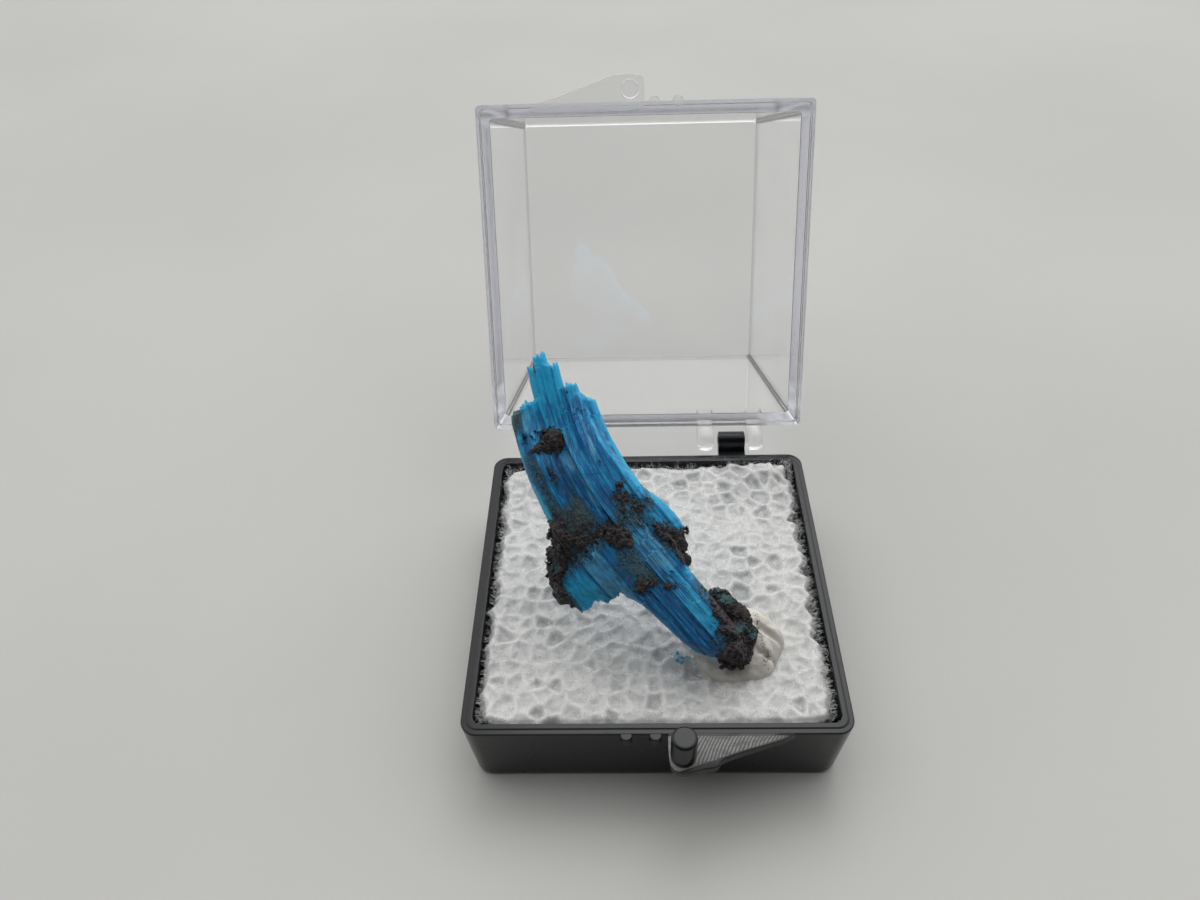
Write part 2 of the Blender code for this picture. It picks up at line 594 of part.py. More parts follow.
def main() -> None:
    """Build the whole object."""
    clear_scene()
    parts = make_collection(OBJECT_NAME)
    helpers = make_collection("cutters", is_helper=True)
    black = make_material("black_plastic", (0.022, 0.025, 0.029), 0.22)
    clear = make_material("clear_plastic", (0.93, 0.94, 0.97), 0.06, alpha=0.3, transmission=0.9)
    white_foam = make_material("white_foam", (0.86, 0.87, 0.88), 0.55)
    putty = make_material("putty", (0.62, 0.60, 0.55), 0.7)
    blue = make_material("blue_crystal", (0.01, 0.20, 0.45), 0.3)
    matrix_rock = make_material("matrix_rock", (0.030, 0.022, 0.020), 0.8)

    build_tray(parts, helpers, black)
    build_lid(parts, helpers, clear)
    build_foam(parts, white_foam)
    build_putty(parts, putty)
    putty_cutter = add_object("putty_inflated", putty_mesh("putty_inflated", PART_GAP), helpers)
    build_crystal(parts, helpers, blue, putty_cutter)
    for seed, (name, lumps) in enumerate(LUMPS.items()):
        lump = add_lump(name, lumps, 0.0, seed * 10, parts, helpers, matrix_rock)
        lump.matrix_world = bundle_matrix()
        if name == "matrix_foot":
            combine(lump, "DIFFERENCE", putty_cutter)


main()
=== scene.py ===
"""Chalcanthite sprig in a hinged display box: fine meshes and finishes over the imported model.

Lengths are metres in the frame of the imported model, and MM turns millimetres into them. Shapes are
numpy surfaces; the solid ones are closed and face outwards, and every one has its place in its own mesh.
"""

from __future__ import annotations

import itertools
import logging
import math
from dataclasses import dataclass, field
from enum import Enum
from typing import Any, Sequence

import bpy
import numpy as np
from mathutils import Matrix, Vector, geometry


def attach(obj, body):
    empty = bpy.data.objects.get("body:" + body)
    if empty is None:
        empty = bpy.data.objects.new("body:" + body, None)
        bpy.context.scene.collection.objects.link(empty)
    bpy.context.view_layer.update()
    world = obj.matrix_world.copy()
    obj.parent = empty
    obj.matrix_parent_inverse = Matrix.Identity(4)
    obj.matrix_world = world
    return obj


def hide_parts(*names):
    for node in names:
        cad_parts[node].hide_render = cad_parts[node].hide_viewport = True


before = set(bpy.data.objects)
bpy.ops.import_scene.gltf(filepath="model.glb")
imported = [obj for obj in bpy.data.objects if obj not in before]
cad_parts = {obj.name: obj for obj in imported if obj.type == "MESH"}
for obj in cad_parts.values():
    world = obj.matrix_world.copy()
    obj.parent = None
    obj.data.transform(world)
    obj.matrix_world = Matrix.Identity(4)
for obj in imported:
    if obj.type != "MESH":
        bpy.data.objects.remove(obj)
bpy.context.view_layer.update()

MM = 0.001
LOG = logging.getLogger("display_box")
Colour = tuple[float, float, float]


class Body(Enum):
    """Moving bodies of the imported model."""

    TRAY = "tray_body"
    LID = "lid_body"


class Slot(Enum):
    """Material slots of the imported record."""

    BLACK = "black_plastic"
    CLEAR = "clear_plastic"
    FOAM = "white_foam"
    PUTTY = "putty"
    CRYSTAL = "blue_crystal"
    ROCK = "matrix_rock"


# Noise on whole arrays


def hashed(cells: np.ndarray, seed: int) -> np.ndarray:
    """Random number from 0 to 1 for each whole-number cell.

    The three indices are multiplied by large primes, and their bits are mixed twice.

    Args:
        cells: Array (..., 3) of whole numbers.
        seed: Number of the pattern.

    Returns:
        Array (...) from 0 to 1.
    """
    whole = cells.astype(np.int64).astype(np.uint32)
    mixed = whole[..., 0] * np.uint32(374761393)
    mixed ^= whole[..., 1] * np.uint32(668265263)
    mixed ^= whole[..., 2] * np.uint32(2246822519)
    mixed ^= np.uint32(seed * 3266489917 % 2**32)
    mixed = (mixed ^ (mixed >> np.uint32(15))) * np.uint32(2246822519)
    mixed = (mixed ^ (mixed >> np.uint32(13))) * np.uint32(3266489917)
    return (mixed ^ (mixed >> np.uint32(16))) / 4294967295.0


def soft_noise(points: np.ndarray, seed: int) -> np.ndarray:
    """Value noise from -1 to 1: random corner values of the unit lattice, blended by smoothstep.

    Args:
        points: Array (..., 3), one lattice cell for each unit.
        seed: Number of the pattern.

    Returns:
        Array (...) from -1 to 1.
    """
    low = np.floor(points)
    part = points - low
    ease = part * part * (3 - 2 * part)
    total = np.zeros(points.shape[:-1])
    for corner in itertools.product((0, 1), repeat=3):
        weight = np.prod(np.where(np.array(corner) == 1, ease, 1 - ease), axis=-1)
        total += weight * hashed(low + np.array(corner), seed)
    return 2 * total - 1


def fractal(points: np.ndarray, octaves: int, seed: int, gain: float = 0.5) -> np.ndarray:
    """Sum of noises, each twice as fine and gain times as strong as the one before.

    Args:
        points: Array (..., 3) in units of the coarsest cell.
        octaves: Number of noises.
        seed: Number of the pattern.
        gain: Strength of each noise against the one before.

    Returns:
        Array (...) of about -1 to 1.
    """
    total = np.zeros(points.shape[:-1])
    strength = 1.0
    for octave in range(octaves):
        total += strength * soft_noise(points * 2.03**octave + 7.1 * octave, seed + octave)
        strength *= gain
    return total


def ridged(points: np.ndarray, octaves: int, seed: int) -> np.ndarray:
    """Sharp crests: one minus the size of each noise, squared, and summed at halving strength.

    Args:
        points: Array (..., 3) in units of the coarsest cell.
        octaves: Number of noises.
        seed: Number of the pattern.

    Returns:
        Array (...) of about 0 to 1.
    """
    total = np.zeros(points.shape[:-1])
    strength = 0.5
    for octave in range(octaves):
        crest = 1 - np.abs(soft_noise(points * 2.11**octave + 3.7 * octave, seed + octave))
        total += strength * crest * crest
        strength *= 0.5
    return total


def step_up(value: np.ndarray, low: float | np.ndarray, high: float | np.ndarray) -> np.ndarray:
    """Smoothstep from 0 at low to 1 at high."""
    share = np.clip((value - low) / (high - low), 0, 1)
    return share * share * (3 - 2 * share)


# Surfaces


@dataclass
class Surface:
    """Points with quads and triangles, a mark or more for each point, and a flat map."""

    points: np.ndarray
    quads: np.ndarray = field(default_factory=lambda: np.zeros((0, 4), int))
    triangles: np.ndarray = field(default_factory=lambda: np.zeros((0, 3), int))
    marks: dict[str, np.ndarray] = field(default_factory=dict)
    flat: np.ndarray | None = None

    @staticmethod
    def grid(points: np.ndarray, around: bool = False, capped: bool = False, ring: bool = False,
             marks: dict[str, np.ndarray] | None = None, flat: np.ndarray | None = None) -> Surface:
        """Surface on a grid of points.

        Args:
            points: Array (rows, columns, 3).
            around: The last column joins the first.
            capped: The first and last rows close on their middle points.
            ring: The last row joins the first.
            marks: Arrays (rows, columns) to keep with the points.
            flat: Array (rows, columns, 2) for the flat map.

        Returns:
            The surface.
        """
        rows, columns = points.shape[:2]
        index = np.arange(rows * columns).reshape(rows, columns)
        if around:
            index = np.concatenate([index, index[:, :1]], axis=1)
        if ring:
            index = np.concatenate([index, index[:1]])
        corners = [index[:-1, :-1], index[:-1, 1:], index[1:, 1:], index[1:, :-1]]
        quads = np.stack([corner.ravel() for corner in corners], axis=1)
        kept = {name: mark.ravel() for name, mark in (marks or {}).items()}
        spread = None if flat is None else flat.reshape(-1, 2)
        triangles = np.zeros((0, 3), int)
        cloud = points.reshape(-1, 3)
        if capped:
            first, last = index[0], index[-1]
            poles = np.stack([points[0].mean(axis=0), points[-1].mean(axis=0)])
            low = np.full(len(first) - 1, len(cloud))
            triangles = np.concatenate([np.stack([low, first[1:], first[:-1]], axis=1),
                                        np.stack([low + 1, last[:-1], last[1:]], axis=1)])
            cloud = np.concatenate([cloud, poles])
            for name, mark in (marks or {}).items():
                kept[name] = np.append(kept[name], [mark[0].mean(), mark[-1].mean()])
            if flat is not None:
                spread = np.concatenate([spread, [flat[0].mean(axis=0), flat[-1].mean(axis=0)]])
        return Surface(cloud, quads, triangles, kept, spread)

    @staticmethod
    def joined(parts: Sequence[Surface]) -> Surface:
        """One surface of several that have the same marks."""
        offsets = np.cumsum([0] + [len(part.points) for part in parts[:-1]])
        marks = {name: np.concatenate([part.marks[name] for part in parts]) for name in parts[0].marks}
        flat = None
        if parts[0].flat is not None:
            flat = np.concatenate([part.flat for part in parts])
        return Surface(np.concatenate([part.points for part in parts]),
                       np.concatenate([part.quads + offset for part, offset in zip(parts, offsets)]),
                       np.concatenate([part.triangles + offset for part, offset in zip(parts, offsets)]),
                       marks, flat)

    def moved(self, matrix: Matrix) -> Surface:
        """The surface after a transform."""
        turn = np.array(matrix)
        points = self.points @ turn[:3, :3].T + turn[:3, 3]
        return Surface(points, self.quads, self.triangles, self.marks, self.flat)

    def outward(self) -> Surface:
        """The closed surface with its faces turned so that the space it encloses counts as positive."""
        halves = np.concatenate([self.triangles, self.quads[:, :3], self.quads[:, [0, 2, 3]]])
        if np.linalg.det(self.points[halves]).sum() >= 0:
            return self
        return Surface(self.points, self.quads[:, ::-1], self.triangles[:, ::-1], self.marks, self.flat)

    def mesh(self, name: str, smooth: bool) -> bpy.types.Mesh:
        """Blender mesh of the surface.

        Args:
            name: Name of the mesh.
            smooth: Shade it smooth.

        Returns:
            The mesh, with a float attribute for each mark and a UV map named flow.
        """
        mesh = bpy.data.meshes.new(name)
        loops = np.concatenate([self.quads.ravel(), self.triangles.ravel()]).astype(np.int32)
        sizes = np.repeat([4, 3], [len(self.quads), len(self.triangles)])
        starts = np.concatenate([[0], np.cumsum(sizes)[:-1]]).astype(np.int32)
        mesh.vertices.add(len(self.points))
        mesh.vertices.foreach_set("co", self.points.astype(np.float32).ravel())
        mesh.loops.add(len(loops))
        mesh.loops.foreach_set("vertex_index", loops)
        mesh.polygons.add(len(sizes))
        mesh.polygons.foreach_set("loop_start", starts)
        mesh.update(calc_edges=True)
        for mark, values in self.marks.items():
            mesh.attributes.new(mark, "FLOAT", "POINT").data.foreach_set("value", values.astype(np.float32))
        if self.flat is not None:
            layer = mesh.uv_layers.new(name="flow")
            layer.data.foreach_set("uv", self.flat[loops].astype(np.float32).ravel())
        mesh.polygons.foreach_set("use_smooth", np.full(len(sizes), smooth))
        return mesh


def add_piece(name: str, mesh: bpy.types.Mesh, finish: Finish, body: Body,
              replaces: Sequence[str] = ()) -> bpy.types.Object:
    """Put a finished mesh into the scene.

    Args:
        name: Name of the piece.
        mesh: Its mesh, in place.
        finish: Its material.
        body: The body that it rides on.
        replaces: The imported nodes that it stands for.

    Returns:
        The piece.
    """
    piece = bpy.data.objects.new(name, mesh)
    bpy.context.scene.collection.objects.link(piece)
    mesh.materials.append(finish.material())
    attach(piece, body.value)
    if replaces:
        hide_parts(*replaces)
    LOG.info("%s: %d faces", name, len(mesh.polygons))
    return piece


def softened(points: Sequence[Sequence[float]], edges: Sequence[float], steps: int = 4) -> np.ndarray:
    """Open line with its inner corners rounded.

    Each corner becomes a quadratic curve that begins and ends an edge's length from it, with one
    more point on the straight line at each side, so that smooth shading stays even there.

    Args:
        points: The line's points, of any dimension.
        edges: Length given up at each point; the first and last are unused.
        steps: Pieces of each curve.

    Returns:
        Array (n, dimension).
    """
    line = np.array(points, float)
    rounded = [line[:1]]
    for before, corner, after, edge in zip(line, line[1:], line[2:], edges[1:]):
        start, end = ((other - corner) * edge / np.linalg.norm(other - corner) for other in (before, after))
        share = np.linspace(0, 1, steps + 1)[:, None]
        curve = (1 - share) ** 2 * start + share**2 * end
        rounded.append(corner + np.concatenate([1.15 * start[None], curve, 1.15 * end[None]]))
    return np.concatenate(rounded + [line[-1:]])


def rounded_square(rows: np.ndarray, corner_steps: int, side_steps: int) -> np.ndarray:
    """Rounded rectangles stacked in rows, each point a corner's middle plus its radius times a direction.

    Args:
        rows: Array (rows, 4): half width, half depth, height and corner radius.
        corner_steps: Pieces of each corner.
        side_steps: Pieces of each side.

    Returns:
        Array (rows, columns, 3), counterclockwise from above.
    """
    quarters = []
    for quarter, (sign_x, sign_y) in enumerate(((1, 1), (-1, 1), (-1, -1), (1, -1))):
        angle = math.pi / 2 * (quarter + np.linspace(0, 1, corner_steps + 1))
        ones = np.ones_like(angle)
        quarters.append(np.stack([sign_x * ones, sign_y * ones, np.cos(angle), np.sin(angle)], axis=1))
    path = []
    for quarter, following in zip(quarters, quarters[1:] + quarters[:1]):
        path.append(quarter)
        share = np.linspace(0, 1, side_steps + 1)[1:-1, None]
        path.append(quarter[-1] * (1 - share) + following[0] * share)
    path = np.concatenate(path)
    half_x, half_y, height, radius = (rows[:, i, None] for i in range(4))
    x = (half_x - radius) * path[:, 0] + radius * path[:, 2]
    y = (half_y - radius) * path[:, 1] + radius * path[:, 3]
    return np.stack([x, y, np.broadcast_to(height, x.shape)], axis=2)


def eased_outline(outline: Sequence[tuple[float, float]], rounds: int = 2) -> np.ndarray:
    """Closed outline whose corners are cut back by a quarter of each side, a few times over."""
    line = np.array(outline, float)
    for _ in range(rounds):
        following = np.roll(line, -1, axis=0)
        line = np.stack([0.75 * line + 0.25 * following, 0.25 * line + 0.75 * following], axis=1).reshape(-1, 2)
    return line


def plate(outline: np.ndarray, hub: tuple[float, float], span: tuple[float, float], edge: float) -> Surface:
    """Plate of a flat outline, its edges rounded.

    The outline shrinks towards the hub near both faces, by a quarter circle's law.

    Args:
        outline: Array (n, 2) in millimetres.
        hub: Point that sees the whole outline, in millimetres.
        span: Lowest and highest place of the plate along its third axis, in millimetres.
        edge: Radius of its edges, in millimetres.

    Returns:
        The plate, its third axis last.
    """
    arms = outline - np.array(hub)
    lengths = np.linalg.norm(arms, axis=1, keepdims=True)
    angles = np.linspace(0, math.pi / 2, 4)
    insets = np.concatenate([edge * (1 - np.sin(angles)), edge * (1 - np.cos(angles))])
    heights = np.concatenate([span[0] + edge * (1 - np.cos(angles)), span[1] - edge * (1 - np.sin(angles))])
    flat = np.array(hub) + arms * (1 - insets[:, None, None] / lengths)
    tall = np.broadcast_to(heights[:, None, None], flat.shape[:2] + (1,))
    return Surface.grid(np.concatenate([flat, tall], axis=2) * MM, around=True, capped=True).outward()


def turned(profile: np.ndarray, centre: tuple[float, float], steps: int) -> Surface:
    """Upright turned piece: a profile of radius and height carried round an axis, in millimetres."""
    angle = np.linspace(0, 2 * math.pi, steps, endpoint=False)
    x = centre[0] + profile[:, :1] * np.cos(angle)
    y = centre[1] + profile[:, :1] * np.sin(angle)
    z = np.broadcast_to(profile[:, 1:], x.shape)
    return Surface.grid(np.stack([x, y, z], axis=2) * MM, around=True, capped=True).outward()


ACROSS = Matrix(((0, 0, 1, 0), (1, 0, 0, 0), (0, 1, 0, 0), (0, 0, 0, 1)))


# Shader maths


class Link:
    """An output of a material's nodes; arithmetic on it adds Math nodes."""

    def __init__(self, maker: NodeMaker, socket: bpy.types.NodeSocket) -> None:
        """Keep the maker and the socket."""
        self.maker = maker
        self.socket = socket

    def _math(self, operation: str, *values: Link | float) -> Link:
        """Math node of the operation on the values."""
        return self.maker.node("ShaderNodeMath", {"operation": operation}, dict(enumerate(values)))

    def __add__(self, other: Link | float) -> Link:
        """Sum."""
        return self._math("ADD", self, other)

    __radd__ = __add__

    def __sub__(self, other: Link | float) -> Link:
        """Difference."""
        return self._math("SUBTRACT", self, other)

    def __rsub__(self, other: float) -> Link:
        """Difference from a number."""
        return self._math("SUBTRACT", other, self)

    def __mul__(self, other: Link | float) -> Link:
        """Product."""
        return self._math("MULTIPLY", self, other)

    __rmul__ = __mul__

    def __pow__(self, other: float) -> Link:
        """Power."""
        return self._math("POWER", self, other)

    def between(self, low: float, high: float, to_low: float = 0.0, to_high: float = 1.0) -> Link:
        """Smoothstep from low to high, mapped to another range."""
        return self.maker.node("ShaderNodeMapRange", {"interpolation_type": "SMOOTHSTEP", "clamp": True},
                               {"Value": self, "From Min": low, "From Max": high,
                                "To Min": to_low, "To Max": to_high})


class NodeMaker:
    """Node tree of one material or of the surroundings, around its main shader."""

    def __init__(self, owner: bpy.types.Material | bpy.types.World, shader: str = "Principled BSDF") -> None:
        """Turn the owner's nodes on and find its shader."""
        self.owner = owner
        owner.use_nodes = True
        self.tree = owner.node_tree
        self.shader = self.tree.nodes[shader]

    def node(self, kind: str, settings: dict[str, Any] | None = None,
             values: dict[Any, Any] | None = None, output: int | str = 0) -> Link:
        """Any node.

        Args:
            kind: Blender's name of the node type.
            settings: Its settings; stops are a colour ramp's places and colours.
            values: Numbers, colours or links of its inputs, by name or index.
            output: Name or index of the output that is returned.

        Returns:
            The output.
        """
        node = self.tree.nodes.new(kind)
        for name, setting in (settings or {}).items():
            if name == "stops":
                self._set_stops(node, setting)
            else:
                setattr(node, name, setting)
        for name, value in (values or {}).items():
            self.feed(node.inputs[name], value)
        return Link(self, node.outputs[output])

    @staticmethod
    def _set_stops(node: bpy.types.Node, stops: Sequence[tuple[float, Colour]]) -> None:
        """Set a colour ramp's stops."""
        elements = node.color_ramp.elements
        while len(elements) < len(stops):
            elements.new(1.0)
        for element, (place, colour) in zip(elements, stops):
            element.position = place
            element.color = (*colour, 1.0)

    def feed(self, socket: bpy.types.NodeSocket, value: Any) -> None:
        """Link a socket, or set its value."""
        if isinstance(value, Link):
            self.tree.links.new(value.socket, socket)
        elif isinstance(value, tuple) and len(value) == 3 and socket.type == "RGBA":
            socket.default_value = (*value, 1.0)
        else:
            socket.default_value = value

    def mixed(self, share: Link | float, first: Link | Colour, second: Link | Colour,
              blend: str = "MIX") -> Link:
        """Colour between two, by a share."""
        return self.node("ShaderNodeMix", {"data_type": "RGBA", "blend_type": blend},
                         {0: share, 6: first, 7: second}, 2)

    def place(self) -> Link:
        """Object coordinates, in metres."""
        return self.node("ShaderNodeTexCoord", output="Object")

    def axis(self, vector: Link, index: int) -> Link:
        """One number of a vector."""
        return self.node("ShaderNodeSeparateXYZ", values={0: vector}, output=index)

    def scaled(self, vector: Link, factors: tuple[float, float, float]) -> Link:
        """Vector times factors, axis by axis."""
        return self.node("ShaderNodeVectorMath", {"operation": "MULTIPLY"}, {0: vector, 1: factors})

    def cloud(self, vector: Link, scale: float, detail: float = 3.0, roughness: float = 0.5,
              distortion: float = 0.0) -> Link:
        """Noise texture's value."""
        return self.node("ShaderNodeTexNoise", None,
                         {"Vector": vector, "Scale": scale, "Detail": detail, "Roughness": roughness,
                          "Distortion": distortion})

    def cells(self, vector: Link, scale: float, feature: str = "F1") -> Link:
        """Voronoi texture's distance."""
        return self.node("ShaderNodeTexVoronoi", {"feature": feature}, {"Vector": vector, "Scale": scale})

    def mark(self, name: str) -> Link:
        """A mark kept with the mesh's points."""
        return self.node("ShaderNodeAttribute", {"attribute_name": name}, output="Fac")

    def flow_map(self) -> Link:
        """The mesh's flat map, across and along the fibres in millimetres."""
        return self.node("ShaderNodeUVMap", {"uv_map": "flow"})

    def bump(self, height: Link, distance: float, strength: float = 1.0) -> Link:
        """Normal of a height, whose full range is a distance in metres."""
        return self.node("ShaderNodeBump", None,
                         {"Height": height, "Distance": distance, "Strength": strength}, "Normal")

    def absorb(self, colour: Colour, density: float) -> None:
        """Absorption of light on its way through the inside."""
        inside = self.node("ShaderNodeVolumeAbsorption", None, {"Color": colour, "Density": density})
        self.feed(self.tree.nodes["Material Output"].inputs["Volume"], inside)

    def see_through(self, solid: Link, glow: Colour, share: float) -> None:
        """Lay the shader out as a thin sheet.

        Args:
            solid: How far the sheet hides what is behind it.
            glow: Colour of the light that passes through the sheet and is scattered.
            share: Share of that light.
        """
        lit = self.node("ShaderNodeBsdfTranslucent", None, {"Color": glow})
        sheet = self.node("ShaderNodeMixShader", None, {0: share, 1: Link(self, self.shader.outputs[0]), 2: lit})
        clear = self.node("ShaderNodeBsdfTransparent")
        shown = self.node("ShaderNodeMixShader", None, {0: solid, 1: clear, 2: sheet})
        self.feed(self.tree.nodes["Material Output"].inputs["Surface"], shown)

    def finish(self, **inputs: Any) -> bpy.types.Material:
        """Feed the shader's inputs, whose names have _ for spaces, and return the owner."""
        for name, value in inputs.items():
            self.feed(self.shader.inputs[name.replace("_", " ")], value)
        return self.owner


class Finish:
    """A material that is built once, however many pieces use it."""

    name: str

    def material(self) -> bpy.types.Material:
        """The material of this finish."""
        known = bpy.data.materials.get(self.name)
        return known or self.build(NodeMaker(bpy.data.materials.new(self.name)))

    def build(self, maker: NodeMaker) -> bpy.types.Material:
        """Make the material's nodes."""
        raise NotImplementedError


@dataclass(frozen=True)
class BlackPlastic(Finish):
    """Glossy black polystyrene with fine scuffs, and a matt milled hatch on the thumb tab, painted pale grey as a
    painted reflection.
    """

    name: str = "black_polystyrene"
    colour: Colour = (0.0055, 0.0066, 0.0088)
    worn: Colour = (0.013, 0.015, 0.019)
    hatch_pale_reflection: Colour = (0.285, 0.281, 0.270)
    hatch_dark: Colour = (0.085, 0.085, 0.086)
    tab_front: float = -15.95 * MM
    tab_height: float = 7.58 * MM
    hatch_left: float = 2.9 * MM
    hatch_pitch: float = 0.25 * MM
    hatch_border: float = 0.14 * MM

    def build(self, maker: NodeMaker) -> bpy.types.Material:
        """Scuffs from stretched noise, and the hatch from a sine across a diagonal of the tab; the tab's top is painted
        pale grey, a painted reflection.
        """
        place = maker.place()
        x, y, z = (maker.axis(place, index) for index in range(3))
        dust = maker.cloud(place, 900.0, 6.0, 0.7).between(0.52, 0.78)
        scuff = maker.cloud(maker.scaled(place, (400.0, 2600.0, 2600.0)), 1.0, 4.0, 0.6).between(0.6, 0.8)
        plain = maker.mixed(dust * 0.5 + scuff * 0.3, self.colour, self.worn)
        inwards = y * 0.947 - x * 0.322 + 18.69 * MM
        on_tab = (y * -1.0).between(-self.tab_front, -self.tab_front + 0.1 * MM) * inwards.between(
            self.hatch_border, self.hatch_border + 0.12 * MM) * x.between(0.5 * MM, 0.9 * MM)
        on_top = z.between(self.tab_height, self.tab_height + 0.03 * MM) * (
            1.0 - z.between(7.72 * MM, 7.78 * MM))
        wobble = maker.cloud(place, 350.0, 3.0)
        bow = (y + 17.0 * MM) * (y + 17.0 * MM) * 90.0
        line = (x * 0.893 - y * 0.451 - bow + wobble * 0.0005) * (2 * math.pi / self.hatch_pitch)
        hatch = maker.node("ShaderNodeMath", {"operation": "SINE"}, {0: line}).between(-0.9, 0.9)
        hatch = 1.0 - (1.0 - hatch) * x.between(self.hatch_left, self.hatch_left + 0.3 * MM)
        patchy = maker.cloud(maker.scaled(place, (700.0, 2200.0, 1.0)), 1.0, 4.0, 0.7).between(0.36, 0.56, 0.35, 1.0)
        # Painted reflection: the tab's top in pale grey, with darker hatch lines.
        milled = maker.mixed(hatch * patchy, self.hatch_dark, self.hatch_pale_reflection)
        mask = on_tab * on_top
        relief = dust * 0.25 + maker.cloud(place, 2600.0, 3.0) * 0.2 + hatch * mask
        return maker.finish(Base_Color=maker.mixed(mask, plain, milled),
                            Roughness=(dust * 0.18 + scuff * 0.1 + mask * 0.35 + 0.2),
                            Normal=maker.bump(relief, 0.012 * MM, 0.6), IOR=1.55, Specular_IOR_Level=0.30)


@dataclass(frozen=True)
class ClearPlastic(Finish):
    """Clear polystyrene with a trace of lavender, faint moulding waves and hairline scratches."""

    name: str = "clear_polystyrene"
    colour: Colour = (0.995, 0.995, 0.995)
    inside: Colour = (0.50, 0.56, 0.90)
    absorption: float = 11.0
    hinge: tuple[float, float] = (17.504 * MM, 8.245 * MM)
    open_angle: float = math.radians(114.75)
    rim: float = 7.8 * MM

    def build(self, maker: NodeMaker) -> bpy.types.Material:
        """Waves and scratches in the normal, smudges in the roughness, a frosted rim, and a trace of lavender inside.

        A spot's rise over the rim is its height in the closed lid: its place behind and above the hinge axis,
        turned back by the angle at which the lid stands open.
        """
        place = maker.place()
        waves = maker.cloud(place, 160.0, 2.0)
        scratch = maker.cloud(maker.scaled(place, (5200.0, 260.0, 420.0)), 1.0, 2.0).between(0.66, 0.74)
        smudge = maker.cloud(place, 240.0, 5.0, 0.65)
        maker.absorb(self.inside, self.absorption)
        behind, above = maker.axis(place, 1) - self.hinge[0], maker.axis(place, 2) - self.hinge[1]
        rise = behind * math.sin(self.open_angle) + above * math.cos(self.open_angle) + (self.hinge[1] - self.rim)
        frosted = 1.0 - rise.between(0.5 * MM, 0.9 * MM)
        return maker.finish(Base_Color=self.colour, Transmission_Weight=0.97, IOR=1.59,
                            Roughness=smudge.between(0.35, 0.75, 0.03, 0.07) + frosted * 0.2,
                            Normal=maker.bump(waves + scratch * 0.12, 0.01 * MM, 0.3))


@dataclass(frozen=True)
class FoamBed(Finish):
    """Sawn polyethylene foam: pale cell walls over hollows painted greyer as painted shade, with a waxy translucence.
    """

    name: str = "foam_bed"
    shaded_hollow: Colour = (0.42, 0.425, 0.43)
    wall: Colour = (0.66, 0.66, 0.65)

    def build(self, maker: NodeMaker) -> bpy.types.Material:
        """Colour by the wall mark, which paints shade into the hollows and leaves the walls pale, with a fine crumpled
        bump.
        """
        place = maker.place()
        grain = maker.cloud(place, 2600.0, 5.0, 0.6)
        # Wall mark: painted shade, low in the hollows and high on the walls.
        share = maker.mark("wall") * 0.8 + grain * 0.3
        return maker.finish(Base_Color=maker.mixed(share.between(0.05, 0.95), self.shaded_hollow, self.wall),
                            Roughness=grain.between(0.3, 0.7, 0.22, 0.5),
                            Normal=maker.bump(grain, 0.04 * MM, 0.4),
                            Subsurface_Weight=0.5, Subsurface_Radius=(1.0, 1.0, 1.0),
                            Subsurface_Scale=0.8 * MM)


@dataclass(frozen=True)
class FoamFilm(Finish):
    """Torn cell films of the foam: thin, white and half clear, brighter on their torn edges."""

    name: str = "foam_film"
    colour: Colour = (0.84, 0.85, 0.86)
    warm_glint: Colour = (0.93, 0.89, 0.74)

    def build(self, maker: NodeMaker) -> bpy.types.Material:
        """Clearness by a mark that is 1 on torn edges, with crumpled glints, and a few warm spots that are painted
        glints.
        """
        place = maker.place()
        crumple = maker.cloud(place, 3200.0, 4.0, 0.6)
        maker.see_through(maker.mark("veil") * 0.5 + crumple.between(0.3, 0.75, 0.02, 0.24), self.colour, 0.5)
        # Painted glints: warm spots painted into the base colour.
        glint_tinted = maker.mixed(maker.cloud(place, 420.0, 1.0).between(0.64, 0.72), self.colour, self.warm_glint)
        return maker.finish(Base_Color=glint_tinted, Roughness=crumple.between(0.3, 0.7, 0.16, 0.45), IOR=1.51,
                            Normal=maker.bump(crumple, 0.1 * MM, 0.8), Specular_IOR_Level=0.4)


@dataclass(frozen=True)
class PuttyFinish(Finish):
    """Off-white mineral tack: matt, with faint prints, dust and a few dark specks pressed in."""

    name: str = "mineral_putty"
    colour: Colour = (0.72, 0.70, 0.645)
    shade: Colour = (0.57, 0.55, 0.50)
    speck: Colour = (0.05, 0.045, 0.04)

    def build(self, maker: NodeMaker) -> bpy.types.Material:
        """Soft mottling, print lines from a stretched wave of noise, and small dark spots."""
        place = maker.place()
        mottle = maker.cloud(place, 420.0, 5.0, 0.6)
        prints = maker.cloud(maker.scaled(place, (1500.0, 5200.0, 3000.0)), 1.0, 2.0)
        spots = 1.0 - maker.cells(place, 1500.0).between(0.07, 0.15)
        rare = maker.cloud(place, 600.0, 1.0).between(0.56, 0.62)
        colour = maker.mixed(mottle.between(0.3, 0.7), self.shade, self.colour)
        return maker.finish(Base_Color=maker.mixed(spots * rare * 0.8, colour, self.speck),
                            Roughness=mottle.between(0.3, 0.7, 0.62, 0.8),
                            Normal=maker.bump(mottle + prints * 0.35, 0.12 * MM, 0.7),
                            Subsurface_Weight=0.15, Subsurface_Radius=(1.0, 0.9, 0.8),
                            Subsurface_Scale=0.5 * MM, Specular_IOR_Level=0.35)


